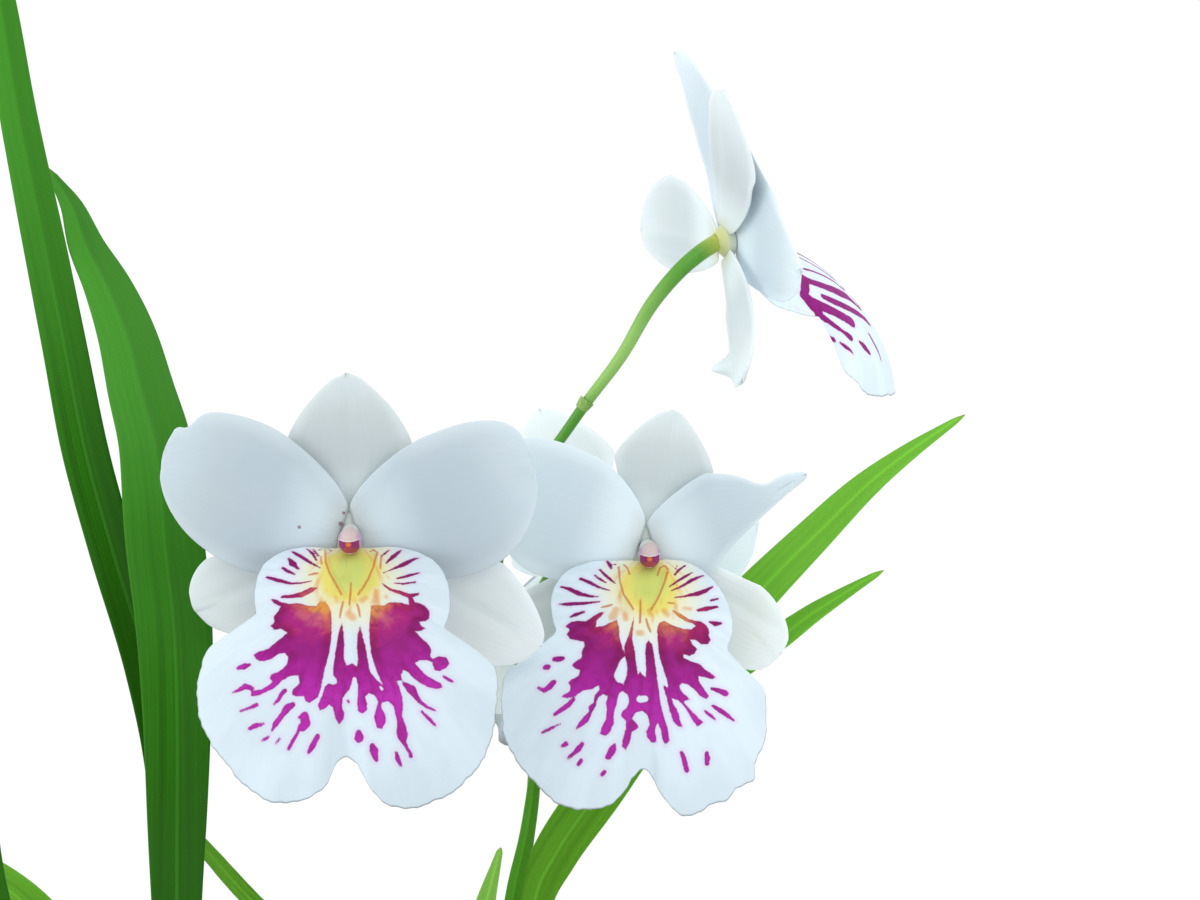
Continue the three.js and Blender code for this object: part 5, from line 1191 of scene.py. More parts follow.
def cut_drains(pot):
    """Cuts a ring of drain holes through the pot's floor."""
    cutters = []
    for i in range(DRAIN_COUNT):
        a = (i + 0.5) / DRAIN_COUNT * 2 * math.pi
        across, ahead = math.cos(a) * DRAIN_RING_RADIUS, math.sin(a) * DRAIN_RING_RADIUS
        bpy.ops.mesh.primitive_cylinder_add(
            vertices=DRAIN_SIDES, radius=DRAIN_RADIUS * MM, depth=3 * POT_FLOOR * MM,
            location=(across * MM, ahead * MM, POT_FLOOR / 2 * MM),
        )
        cutters.append(bpy.context.object)
        cut = pot.modifiers.new(f"drain_{i + 1}", "BOOLEAN")
        cut.object, cut.operation, cut.solver = cutters[-1], "DIFFERENCE", "EXACT"
    solid = bpy.data.meshes.new_from_object(pot.evaluated_get(bpy.context.evaluated_depsgraph_get()))
    pot.modifiers.clear()
    pot.data = solid
    for cutter in cutters:
        bpy.data.objects.remove(cutter)


def build_bark(s):
    """A bed of bark with loose chips on it."""
    rng = np.random.default_rng(s.seed)
    pot = bpy.context.scene.orchid_settings.pot
    rim = pot_inner_radius(pot, BARK_LEVEL) - BARK_CLEARANCE
    low = pot_inner_radius(pot, POT_FLOOR) - BARK_CLEARANCE
    shells = Shells()
    rows = [(0, POT_FLOOR + 0.4), (low, POT_FLOOR + 0.4), (rim, BARK_BED)]
    rows += [(rim * k, BARK_BED + BARK_DOME * (1 - k * k)) for k in np.linspace(0.95, 0.05, BARK_RINGS)]
    points, faces = lathe_shell([*rows, (0, BARK_BED + BARK_DOME)], BARK_SIDES)
    top = points[:, 2] > BARK_BED - 1
    points[top, 2] += rng.uniform(-0.5, 0.5, top.sum())
    shells.add(points, faces, chip=0.1)
    reach = rim - CHIP_CLEARANCE
    size = s.chip_size / MM
    for i in range(s.chips):
        radius = reach * math.sqrt((i + 0.5) / s.chips)
        level = BARK_LEVEL + BARK_DOME * (1 - (radius / reach) ** 2) - 0.6
        points, faces, tone = chip_shell(rng, size, radius, i * GOLDEN_ANGLE, level)
        shells.add(points, faces, chip=tone)
    add_piece("bark_bed", shells, bark_finish(s), "bark", "bark")


def chip_shell(rng, size, radius, angle, level):
    """One flat, knocked-about chip of bark lying near a place on the bed."""
    rows, columns = 7, 10
    up = np.linspace(-1, 1, rows)[:, None]
    a = around(columns)[None, :]
    ring = np.sqrt(np.clip(1 - np.abs(up) ** 5, 0.12, 1))
    square = 1 / np.maximum(np.abs(np.cos(a)), np.abs(np.sin(a))) ** 0.75
    half = size * np.array([rng.uniform(0.38, 0.7), rng.uniform(0.28, 0.46), rng.uniform(0.12, 0.24)])
    knock = 1 + rng.uniform(-0.16, 0.16, (rows, columns))
    points = np.stack([
        half[0] * ring * square * np.cos(a) * knock, half[1] * ring * square * np.sin(a) * knock,
        half[2] * (up + 0 * a) + rng.uniform(-0.25, 0.25, (rows, columns)),
    ], -1).reshape(-1, 3)
    points = np.vstack([points, [(0, 0, -half[2]), (0, 0, half[2])]])
    turn = Euler((rng.uniform(-0.35, 0.35), rng.uniform(-0.35, 0.35), rng.uniform(0, math.pi)))
    height = level + rng.uniform(0, 1.6)
    place = Matrix.Translation((math.cos(angle) * radius, math.sin(angle) * radius, height))
    points = moved(points, place @ turn.to_matrix().to_4x4())
    return points, tube_faces(rows, columns), rng.uniform(0, 1)


def build_bulbs(s):
    """The pseudobulbs, ribbed and flattened, each with a torn papery sheath round its foot."""
    finish = bulb_finish(s)
    ribs = s.rib_depth / MM
    for number, bulb in enumerate(PSEUDOBULBS, 1):
        rng = np.random.default_rng(BULB_SEED + number)
        width, depth, height = bulb["size"]
        aside, back = bulb["lean"]
        turn = Euler([math.radians(angle) for angle in (-back, aside, bulb["turn"])])
        matrix = Matrix.Translation((*bulb["at"], BARK_LEVEL + BULB_LIFT)) @ turn.to_matrix().to_4x4()
        shells = Shells()
        body, faces = bulb_shell(width, depth, height, ribs, rng)
        shells.add(moved(body, matrix), faces, height=body[:, 2] / height, papery=0)
        foot_profile = post_profile(BULB_FOOT_RADIUS, BULB_FOOT_LOW, BULB_FOOT_HIGH)
        foot, foot_faces = lathe_shell(foot_profile, ROD_SIDES)
        shells.add(moved(foot, matrix), foot_faces, height=-0.1, papery=0)
        for side in (-1, 1):
            sheath, sheath_faces = bulb_sheath(width, depth, height, side, rng)
            shells.add(moved(sheath, matrix), sheath_faces, height=0.3, papery=1)
        add_piece(f"bulb_{number}", shells, finish, "bulb_green", f"pseudobulb_{number}")


def bulb_radius(share):
    """Share of the bulb's half width at a share of its height."""
    return smooth_through(BULB_PROFILE, share)


def bulb_shell(width, depth, height, ribs, rng):
    """The swollen body, with lengthwise ribs that fade at both ends."""
    t = (1 - np.cos(np.linspace(0, math.pi, BULB_ROWS))) / 2
    share = -0.04 + 1.04 * t
    a = around(BULB_SIDES)[None, :]
    radius = bulb_radius(share)[:, None]
    phase = rng.uniform(0, 6)
    ripple = np.cos(BULB_RIBS * a + phase) + 0.5 * np.cos(BULB_FINE_RIBS * a + 2 * phase)
    relief = ribs * np.sin(math.pi * t)[:, None] * ripple - ribs
    points = np.stack([
        (radius * width / 2 + relief * (radius > 0.1)) * np.cos(a),
        (radius * depth / 2 + relief * (radius > 0.1)) * np.sin(a),
        np.repeat(share[:, None] * height, BULB_SIDES, axis=1),
    ], -1)[1:-1].reshape(-1, 3)
    points = np.vstack([points, [(0, 0, share[0] * height), (0, 0, height)]])
    return points, tube_faces(BULB_ROWS - 2, BULB_SIDES)


def bulb_sheath(width, depth, height, side, rng):
    """A torn papery sheath that hugs one side of the bulb and comes to a point."""
    rows, columns = 26, 25
    top = rng.uniform(0.42, 0.66)
    v = np.linspace(-1, 1, columns)[None, :]
    ragged = 1 - 0.55 * np.abs(v) ** 1.6 + 0.03 * np.sin(v * 23 + rng.uniform(0, 6))
    share = -0.02 + np.linspace(0, 1, rows)[:, None] * top * ragged
    a = math.pi / 2 * (side - 1) + v * 1.45 + 0.06 * np.sin(share * 30)
    radius = bulb_radius(share.ravel()).reshape(share.shape)
    off = 0.35 + 0.5 * smoothstep(0.5, 1.0, share / top)
    wide, deep = radius * width / 2 + off, radius * depth / 2 + off
    points = np.stack([wide * np.cos(a), deep * np.sin(a), share * height], -1)
    return blade_shell(points, PAPER_THICKNESS)[:2]


# ---- Leaves ----
def build_leaves(s):
    """Every strap leaf and sheath, folded along its keel, with its own finish."""
    # `shade` is how deep the painted shade on a blade's right half is.
    looks = [
        ("deep", "orchid_leaf_deep", "leaf_deep", dict(gloss=0.36, lift=1.7, low=0.5, shade=0.4)),
        ("middle", "orchid_leaf_middle", "leaf_deep", dict(gloss=0.4, lift=1.1, low=0.5, shade=0.4)),
        ("bright", "orchid_leaf_bright", "leaf_bright", dict(gloss=0.4, lift=1.05, low=0.8, shade=0)),
        ("sheath", "orchid_sheath", "sheath_green", dict(gloss=0.5, lift=1.1, low=0.7, shade=0.2)),
    ]
    finishes = {
        green: (leaf_finish(name, getattr(s, green), **look), slot) for green, name, slot, look in looks
    }
    for number, (node, leaf) in enumerate(LEAVES.items()):
        rng = np.random.default_rng(LEAF_SEED + number)
        material, slot = finishes[leaf["tint"]]
        shells = Shells()
        points, faces, values = leaf_shell(leaf, s.thickness / MM, rng)
        shells.add(points, faces, **values)
        add_piece(f"{node}_blade", shells, material, slot, node)


def leaf_shell(leaf, thickness, rng):
    """One blade: its points, faces and the values its finish reads."""
    centres, along = curve_through(leaf["path"], LEAF_ROWS)
    t = np.linspace(0, 1, LEAF_ROWS)
    half = even_steps(leaf["widths"], t) * np.sqrt(np.clip((1 - t) / 0.012, 0.02, 1))
    foot, tip = (np.array(f, float) for f in leaf["face"])
    face = foot[None] * (1 - t[:, None]) + tip[None] * t[:, None]
    across = unit(np.cross(along, face))
    up = unit(np.cross(across, along))
    fold = math.radians(leaf["fold"])
    v = np.sin(np.linspace(-1, 1, LEAF_COLUMNS) * math.pi / 2)[None, :, None]
    lift = np.sqrt(v**2 + 0.0025) - 0.05
    wave = LEAF_WAVE_HEIGHT * ripples(t * 200, LEAF_WAVES, rng)[:, None, None] * v**2
    wave = wave * smoothstep(0.1, 0.4, t)[:, None, None]
    wide = half[:, None, None]
    middle = (centres[:, None] + across[:, None] * v * wide * math.cos(fold)
              + up[:, None] * (lift * wide * math.sin(fold) + wave * np.minimum(wide / 4, 1)))
    thick = thickness / 2 * (0.35 + 0.65 * (1 - np.abs(v[..., 0]) ** 3)) * np.ones((LEAF_ROWS, 1))
    normals = np.broadcast_to(up[:, None], middle.shape)
    v = v[..., 0]
    points, faces, values = blade_shell(
        middle, thick, normals, along=t[:, None], across=v, wide=v * half[:, None]
    )
    return points, [f[:, ::-1] for f in faces], values


# ---- Flower stem ----
def bloom_matrix(bloom):
    """The flower's own frame: x to its right, y up its back sepal, z out of its face."""
    turn = Matrix.Rotation(math.radians(bloom["yaw"]), 4, "Z")
    turn @= Matrix.Rotation(math.pi / 2 + math.radians(bloom["nod"]), 4, "X")
    turn @= Matrix.Rotation(math.radians(bloom["roll"]), 4, "Z")
    return Matrix.Translation(bloom["at"]) @ turn @ Matrix.Scale(bloom["size"], 4)


def build_stem(s):
    """The arching stem, a stalk to each bloom and the bracts that clasp its nodes."""
    shells = Shells()

    def behind(name, z):
        return tuple(bloom_matrix(BLOOMS[name]) @ Vector((0, 0, z)))

    main = [*STEM_PATH, behind("top_bloom", STALK_START)]
    points, faces, share = rod_shell(main, STEM_RADII, STEM_STEPS, ribs=0.02)
    shells.add(points, faces, swell=share, papery=0)
    for name, bloom in BLOOMS.items():
        if bloom["stalk"]:
            path = [behind(name, STALK_START), behind(name, STALK_STRAIGHT), *bloom["stalk"]]
            points, faces, share = rod_shell(path, STALK_RADII, STALK_STEPS, ribs=0.03)
            shells.add(points, faces, swell=1 - share, papery=0)
    for bract in STEM_BRACTS:
        points, faces = bract_shell(bract)
        shells.add(points, faces, swell=0, papery=1)
    add_piece("flower_stem_fine", shells, stem_finish(s), "stem_green", "flower_stem")


def bract_shell(bract):
    """A papery bract that clasps the stem at a node and comes to a point, open down one side."""
    rows, columns = 24, 21
    t = np.linspace(0, 1, rows)
    lean = unit(np.array([bract["lean"], BRACT_FORWARD, 1.0]))
    side = unit(np.cross(lean, (0, 1, 0)))
    other = np.cross(lean, side)
    centres = np.array(bract["at"], float) + lean * (BRACT_ROOT + (bract["length"] - BRACT_ROOT) * t)[:, None]
    radius = even_steps(bract["radii"], t)[:, None]
    opening = (2.9 - 1.5 * t**2)[:, None]
    a = math.pi / 2 + np.linspace(-1, 1, columns)[None, :] * opening
    across, ahead = (np.cos(a) * radius)[..., None], (np.sin(a) * radius)[..., None]
    middle = centres[:, None] + side * across + other * ahead
    return blade_shell(middle, PAPER_THICKNESS)[:2]


# ---- Blooms ----
def half_width(side, along, sizes):
    """Half width of one side of a petal or sepal at distances along it."""
    wide, at, full_below, full_above = side
    above = along > at
    end = np.where(above, sizes["length"], sizes["start"])
    least = np.where(above, TEPAL_TIP, sizes["foot"])
    full = np.where(above, full_above, full_below)
    share = np.clip((along - at) / (end - at), 0, 1)
    return least + (wide - least) * (1 - share**full) ** (1 / full)


def tepal_edges(sizes, a, share):
    """How far the left and the right edge lie from the straight line out from the base."""
    middle_line = sizes["sway"] * share**2
    round_tip = np.sqrt(np.clip((sizes["length"] - a) / TIP_ROUNDING, 0.02, 1))
    left = middle_line + half_width(sizes["left"], a, sizes) * round_tip
    right = middle_line - half_width(sizes["right"], a, sizes) * round_tip
    side, at, depth, reach = sizes.get("notch", (1, 0, 0, 1))
    dent = side * depth * np.exp(-(((a - at) / reach) ** 2))
    return left - np.maximum(dent, 0), right - np.minimum(dent, 0)


def tepal_shell(sizes, sepal, thickness, ripple, rng):
    """One petal or sepal in the flower's own frame, with the values its finish reads."""
    turn = math.radians(sizes["turn"])
    along = np.array([math.cos(turn), math.sin(turn)])
    side = np.array([-along[1], along[0]])
    first, last = sizes["start"], sizes["length"]
    u = np.linspace(0, 1, TEPAL_ROWS)
    share = TEPAL_ROW_EVEN * u + (1 - TEPAL_ROW_EVEN) * np.sin(u * math.pi / 2)
    a = first + (last - first) * share
    left, right = tepal_edges(sizes, a, share)
    v = np.sin(np.linspace(-1, 1, TEPAL_COLUMNS) * math.pi / 2)
    s = right[:, None] + (left - right)[:, None] * (v + 1)[None, :] / 2
    x = sizes["base"][0] + along[0] * a[:, None] + side[0] * s
    y = sizes["base"][1] + along[1] * a[:, None] + side[1] * s
    level, reflex = (SEPAL_LEVEL, SEPAL_REFLEX) if sepal else (PETAL_LEVEL, PETAL_REFLEX)
    share = share[:, None]
    edge = np.maximum(np.abs(v)[None, :] ** 4, share**6)
    turning = a[:, None] * 0.9 + np.where(v > 0, 17.0, 0.0)[None, :] + s * share
    wave = ripple * edge * ripples(turning, TEPAL_WAVES, rng)
    z = level - sizes.get("reflex", reflex) * (x**2 + y**2) + wave * smoothstep(0.1, 0.5, share)
    hook_at, hook_depth, hook_reach = sizes.get("hook", (0, 0, 1))
    hooked = np.exp(-(((a[:, None] - hook_at) / hook_reach) ** 2)) * smoothstep(0.45, 1.0, v)[None, :] ** 2
    z = z - hook_depth * hooked
    crease = CREASE_DEPTH * np.exp(-((s / CREASE_WIDTH) ** 2)) * smoothstep(0.0, 0.15, share)
    if sepal:
        z = z - crease * smoothstep(1.0, 0.7, share)
    middle = np.stack([x, y, z], -1)
    thick = thickness / 2 * (0.4 + 0.6 * (1 - np.abs(v) ** 4))[None, :] * np.ones((TEPAL_ROWS, 1))
    width = np.maximum((left - right)[:, None] / 2, 1.0)
    fan = s / width * np.minimum(8 + 0.55 * width, 13)
    return blade_shell(middle, thick, along=share, across=v, fan=fan, light=sizes["light"])


def build_tepals(s):
    """Two petals and three sepals for every bloom."""
    petal = tepal_finish("orchid_petal", s.petal, PETAL_BASE, PETAL_CREAM)
    sepal = tepal_finish("orchid_sepal", s.sepal, s.base, SEPAL_CREAM)
    for name, bloom in BLOOMS.items():
        matrix = bloom_matrix(bloom)
        for number, (organ, sizes) in enumerate(bloom["form"].items()):
            rng = np.random.default_rng(TEPAL_SEED + 10 * len(name) + number)
            shells = Shells()
            is_sepal = "sepal" in organ
            foot = {"foot": SEPAL_FOOT} if is_sepal else {"foot": PETAL_FOOT, "start": PETAL_START}
            sizes = {**sizes, **foot}
            points, faces, values = tepal_shell(sizes, is_sepal, s.thickness / MM, s.ripple / MM, rng)
            shells.add(moved(points, matrix), faces, **values)
            material, slot = (sepal, "sepal_cream") if is_sepal else (petal, "petal_white")
            add_piece(f"{name}_{organ}_fine", shells, material, slot, f"{name}_{organ}")


def line_distance(x, q, start, end):
    """Distance in millimetres to a straight line, and the share of it at the nearest place."""
    (x0, q0), dx, dq = start, end[0] - start[0], end[1] - start[1]
    share = np.clip(((x - x0) * dx + (q - q0) * dq) / max(dx * dx + dq * dq, 1e-9), 0, 1)
    return np.hypot(x - x0 - share * dx, q - q0 - share * dq), share


def stroke_distance(x, q, stroke):
    """Distance in millimetres from points to the edge of a tapering stroke; negative inside."""
    best = np.full(np.shape(x), 1e9)
    for (*start, first), (*end, last) in zip(stroke, stroke[1:]):
        gap, share = line_distance(x, q, start, end)
        best = np.minimum(best, gap - (first + (last - first) * share))
    return best


def patch_distance(x, q, outline):
    """Distance in millimetres from points to an outline; negative inside."""
    best = np.full(np.shape(x), 1e9)
    inside = np.zeros(np.shape(x), bool)
    for start, end in zip(outline, outline[1:] + outline[:1]):
        best = np.minimum(best, line_distance(x, q, start, end)[0])
        (x0, q0), (x1, q1) = start, end
        crosses = (q0 > q) != (q1 > q)
        inside ^= crosses & (x < (x1 - x0) * (q - q0) / (q1 - q0 or 1e-9) + x0)
    return np.where(inside, -best, best)


def marks_at(x, q, marks):
    """The values a lip's finish reads at points across it and down its middle line."""
    def nearest(strokes):
        return np.minimum.reduce([far, *[stroke_distance(x, q, stroke) for stroke in strokes]])

    far = np.full(np.shape(x), MARK_FAR)
    if marks["mirrored"]:
        x = math.copysign(1, marks["rays"][0][0][0]) * np.abs(x)
    ink = np.minimum.reduce([nearest(marks["rays"]), *[patch_distance(x, q, p) for p in marks["patches"]]])
    ink = np.maximum(ink, -nearest(marks["windows"]))
    callus = np.hypot((x - CALLUS_ASIDE) / CALLUS_TINT_WIDTH, (q - CALLUS_DOWN) / CALLUS_DOWN)
    # Marks are ochre at two places beside the middle line and magenta further off.
    tone = 6 + 1.2 * np.hypot(np.abs(x - 0.5) - OCHRE_ASIDE, q - OCHRE_DOWN)
    tone = np.minimum(tone, 18 + 20 * smoothstep(9, 15, q))
    return {
        "ink": np.clip(ink, -MARK_FAR, MARK_FAR),
        "line": nearest(marks["keels"] + marks["lines"]),
        "spot": nearest(marks["spots"]),
        "tone": np.full(np.shape(x), MAGENTA_TONE) if marks["mirrored"] else tone,
        "callus": callus + (3.0 if marks["mirrored"] else 0.0),
        "beam": np.arctan2(x - CALLUS_ASIDE, q + 4),
    }


def lip_point(x, q, lip, lift=0.0):
    """Points on the lip: `x` across it and `q` along its arched middle line, raised by `lift`."""
    first = math.radians(lip["tilt"][0])
    bend = (math.radians(lip["tilt"][1]) - first) / LIP_LENGTH
    slope = first + bend * q
    callus = CALLUS_HEIGHT * np.exp(-((x / CALLUS_WIDTH) ** 2) - ((q - CALLUS_LENGTH) / CALLUS_LENGTH) ** 2)
    rise = callus - lip["arch"] * x**2 + lift
    return np.stack([
        x + 0 * q,
        LIP_START[1] - (math.cos(first) - np.cos(slope)) / bend + rise * np.cos(slope),
        LIP_START[2] + (np.sin(slope) - math.sin(first)) / bend + rise * np.sin(slope),
    ], -1)


def lip_sized(points, lip):
    """Points of a lip brought to its size about the place where it starts."""
    root = np.array(LIP_START)
    return (points - root) * lip["size"] + root


def on_lip(readings, bloom):
    """Points of the view carried onto a bloom's lip, in millimetres across it and down its middle line."""
    readings = np.array([(*r, 0) if len(r) == 2 else r for r in readings], float)
    matrix = bloom_matrix(bloom)

    def seen(x, q):
        points = moved(lip_sized(lip_point(x, q, bloom["lip"]), bloom["lip"]), matrix)
        depth = (points[:, 1] - CAMERA_PLACE[1]) / VIEW_FOCAL
        across = VIEW_WIDTH / 2 + (points[:, 0] - CAMERA_PLACE[0]) / depth
        return np.stack([across, VIEW_HEIGHT / 2 - (points[:, 2] - CAMERA_PLACE[2]) / depth], -1)

    x, q, step = np.zeros(len(readings)), np.full(len(readings), LIP_CENTRE), 1e-3
    for _ in range(30):
        place = seen(x, q)
        off = place - readings[:, :2]
        by_x, by_q = (seen(x + step, q) - place) / step, (seen(x, q + step) - place) / step
        area = by_x[:, 0] * by_q[:, 1] - by_q[:, 0] * by_x[:, 1]
        move_x = off[:, 1] * by_q[:, 0] - off[:, 0] * by_q[:, 1]
        move_q = off[:, 0] * by_x[:, 1] - off[:, 1] * by_x[:, 0]
        move = np.stack([move_x, move_q]) / area
        move *= np.minimum(1, 5 / np.maximum(np.hypot(*move), 1e-9))
        x, q = x + move[0], q + move[1]
    if np.abs(off).max() > 0.01:
        raise RuntimeError("a point of the view doesn't fall on the lip")
    return [tuple(row) for row in np.stack([x, q, readings[:, 2] / np.sqrt(np.abs(area))], -1)]


def lip_drawing(view, bloom):
    """A lip's marks in millimetres on the lip, and its margin as (degrees from straight down, reach) rows."""
    drawing = {kind: [on_lip(stroke, bloom) for stroke in view[kind]] for kind in view if kind != "margin"}
    drawing["patches"] = [[(x, q) for x, q, _ in patch] for patch in drawing["patches"]]
    drawing["mirrored"] = "margin" not in view
    if "margin" in view:
        drawing["reach"] = sorted(
            (math.degrees(math.atan2(x, q - LIP_CENTRE)), math.hypot(x, q - LIP_CENTRE))
            for x, q, _ in on_lip(view["margin"], bloom)
        )
    return drawing


def lip_outline(reach, count, frill, rng):
    """Angles and reaches at even steps along the margin, with its small frills, and the length so far."""
    rows = [(a - 360, r) for a, r in reach[-3:]] + list(reach) + [(a + 360, r) for a, r in reach[:4]]
    angle = np.linspace(-180, 180, 4001)
    r = smooth_through(rows, angle)
    a = np.radians(angle)
    length = np.concatenate([[0], np.cumsum(np.hypot(np.diff(np.sin(a) * r), np.diff(np.cos(a) * r)))])
    at = np.linspace(0, length[-1], count, endpoint=False)
    a, r = np.interp(at, length, a), np.interp(at, length, r)
    lobes = 0.35 + 0.65 * smoothstep(70, 52, np.abs(np.degrees(a)))
    r = r + frill * lobes * (ripples(at, FRILL_WAVES, rng) + 0.6 * ripples(at, SCALLOP_WAVES, rng))
    return a, r, at


def lip_shell(lip, drawing, fine, s, rng):
    """The lip in the flower's own frame: marked upper face, plain underside and a thin frilled margin."""
    spokes, rings = int(LIP_SPOKES * fine), int(LIP_RINGS * fine)
    angle, reach, at = lip_outline(drawing["reach"], spokes, s.frill / MM, rng)
    lobes = 0.3 + 0.7 * smoothstep(75, 50, np.abs(np.degrees(angle)))
    margin_wave = s.wave / MM * lobes * ripples(at, LIP_WAVES, rng)

    def face(share, sign):
        share = np.asarray(share)[:, None]
        x, q = np.sin(angle) * reach * share, LIP_CENTRE + np.cos(angle) * reach * share
        wave = margin_wave * share**4
        valley = -VALLEY_DEPTH * np.exp(-((x - VALLEY_ASIDE) / VALLEY_WIDTH) ** 2)
        valley = valley * smoothstep(VALLEY_TOP, VALLEY_FULL, q)
        fine_folds = FOLD_HEIGHT * share**2 * np.sin(angle * FOLDS + 1.5 * np.sin(angle * 7))
        gaps = [stroke_distance(x, q, keel) for keel in drawing["keels"]]
        keel = np.minimum.reduce([np.full(x.shape, MARK_FAR), *gaps])
        keels = KEEL_HEIGHT * np.exp(-np.clip(keel, 0, 9) ** 2 / KEEL_SOFTNESS)
        lift = wave + valley + fine_folds + keels
        p = lip_point(x, q, lip, lift)
        step = 0.05
        down = lip_point(x, q + step, lip, lift) - lip_point(x, q - step, lip, lift)
        over = lip_point(x + step, q, lip, lift) - lip_point(x - step, q, lip, lift)
        half = s.thickness / MM / 2 * np.sqrt(np.clip(1 - share**16, 0, 1)) * (1 - 0.8 * share**4)
        return p + unit(np.cross(down, over)) * (sign * half)[..., None], x, q

    upper, x, q = face(np.linspace(0, 1, rings + 1)[1:], 1)
    under, ux, uq = face(np.linspace(0, 1, LIP_UNDER_RINGS + 2)[1:-1], -1)
    hubs = [face([1e-4], sign)[0][0, 0] for sign in (1, -1)]
    points = np.vstack([upper.reshape(-1, 3), under.reshape(-1, 3), hubs])
    ring, first_under = np.arange(spokes), rings * spokes
    hub = first_under + LIP_UNDER_RINGS * spokes
    rim, under_rim = first_under - spokes + ring, hub - spokes + ring
    faces = [
        grid_faces(rings, spokes, closed=True),
        fan_faces(hub, ring),
        grid_faces(LIP_UNDER_RINGS, spokes, closed=True, start=first_under, flip=True),
        fan_faces(hub + 1, first_under + ring, flip=True),
        np.stack([under_rim, np.roll(under_rim, -1), np.roll(rim, -1), rim], -1),
    ]
    all_x = np.concatenate([x.ravel(), ux.ravel(), [0, 0]])
    all_q = np.concatenate([q.ravel(), uq.ravel(), [LIP_CENTRE, LIP_CENTRE]])
    values = marks_at(all_x, all_q, drawing)
    values["fan"] = np.concatenate([np.tile(angle, rings + LIP_UNDER_RINGS), [0, 0]])
    values["light"] = lip["light"]
    return lip_sized(points, lip), faces, values


def build_lips(s):
    """The broad marked lip of every bloom."""
    finish = lip_finish(s)
    views = {"left": LEFT_LIP_VIEW, "right": RIGHT_LIP_VIEW, "top": TOP_LIP_VIEW}
    drawings = {side: lip_drawing(view, BLOOMS[f"{side}_bloom"]) for side, view in views.items()}
    drawings["top"]["reach"] = drawings["left"]["reach"]
    for number, (name, bloom) in enumerate(BLOOMS.items()):
        rng = np.random.default_rng(LIP_SEED + number)
        shells = Shells()
        lip = bloom["lip"]
        points, faces, values = lip_shell(lip, drawings[lip["drawing"]], bloom["fine"], s, rng)
        shells.add(moved(points, bloom_matrix(bloom)), faces, **values)
        add_piece(f"{name}_lip_fine", shells, finish, "lip", f"{name}_lip")


def hood_shell():
    """The hood in its own frame, a hollow under its front rim, and the values its finish reads."""
    t = np.linspace(0, math.pi, HOOD_SIDES)
    unit_ball, faces = lathe_shell(np.stack([np.sin(t), -np.cos(t)], -1), HOOD_SIDES)
    x, y, z = unit_ball.T
    front = smoothstep(0.0, 0.3, z)
    hollow = front * smoothstep(0.14, 0.0, y - 0.12 * x**2) * smoothstep(0.97, 0.72, np.abs(x))
    hollow = hollow * smoothstep(-1.0, -0.7, y)
    rim = front * np.exp(-(((y - 0.15 - 0.12 * x**2) / 0.06) ** 2))
    hood = unit_ball * (HOOD_WIDTH / 2, HOOD_HEIGHT / 2, HOOD_LENGTH / 2)
    hood[:, 2] += 0.3 * rim - 1.0 * hollow
    values = dict(
        back=0, throat=hollow, rim=rim,
        cup=0.7 * smoothstep(0.3, -0.7, z) * smoothstep(0.2, 0.6, y),
        blush=smoothstep(0.4, 0.9, np.abs(x) + 0.5 * smoothstep(-0.2, -0.9, y)),
        low=hollow * smoothstep(0.05, -0.3, y + 0.75 * np.abs(x)),
        dot=hollow * np.exp(-((x / 0.3) ** 2) - (((y + 0.12) / 0.22) ** 2)),
    )
    return hood, faces, values


def build_columns(s):
    """The column of every bloom: a cup, a post, and a hood with a hollow under its front rim."""
    finish = column_finish(s)
    plain = dict(blush=0.4, throat=0, low=0, dot=0, rim=0)
    wall = post_profile(COLUMN_RADIUS, COLUMN_BACK, COLUMN_FRONT)
    cup, cup_faces = lathe_shell(rounded(CUP_PROFILE, CUP_ROUNDING), CUP_SIDES)
    post, post_faces = lathe_shell(rounded(wall, POST_ROUNDING), POST_SIDES)
    hood, hood_faces, hood_values = hood_shell()
    post_place = Matrix.Translation((HOOD_ASIDE / 2, HOOD_RISE, 0))
    hood_place = Matrix.Translation((HOOD_ASIDE, HOOD_RISE, HOOD_START + HOOD_LENGTH / 2))
    hood_place @= Matrix.Rotation(-HOOD_DROOP, 4, "X")
    for name, bloom in BLOOMS.items():
        matrix = bloom_matrix(bloom)
        shells = Shells()
        shells.add(moved(cup, matrix), cup_faces, cup=1, back=smoothstep(0.0, -3.4, cup[:, 2]), **plain)
        shells.add(moved(post, matrix @ post_place), post_faces, cup=0.7, back=0, **plain)
        shells.add(moved(hood, matrix @ hood_place), hood_faces, **hood_values)
        add_piece(f"{name}_column_fine", shells, finish, "column", f"{name}_column")


# ---- Floor, light and camera ----
def area_light(name, power, place, width, colour=(1, 1, 1)):
    """A soft square light that looks at the plant."""
    light = bpy.data.lights.new(name, "AREA")
    light.energy, light.size, light.color = power, width * MM, colour
    lamp = bpy.data.objects.new(name, light)
    lamp.location = Vector(place) * MM
    lamp.rotation_euler = (Vector(LIGHT_AIM) - Vector(place)).to_track_quat("-Z", "Y").to_euler()
    bpy.context.scene.collection.objects.link(lamp)


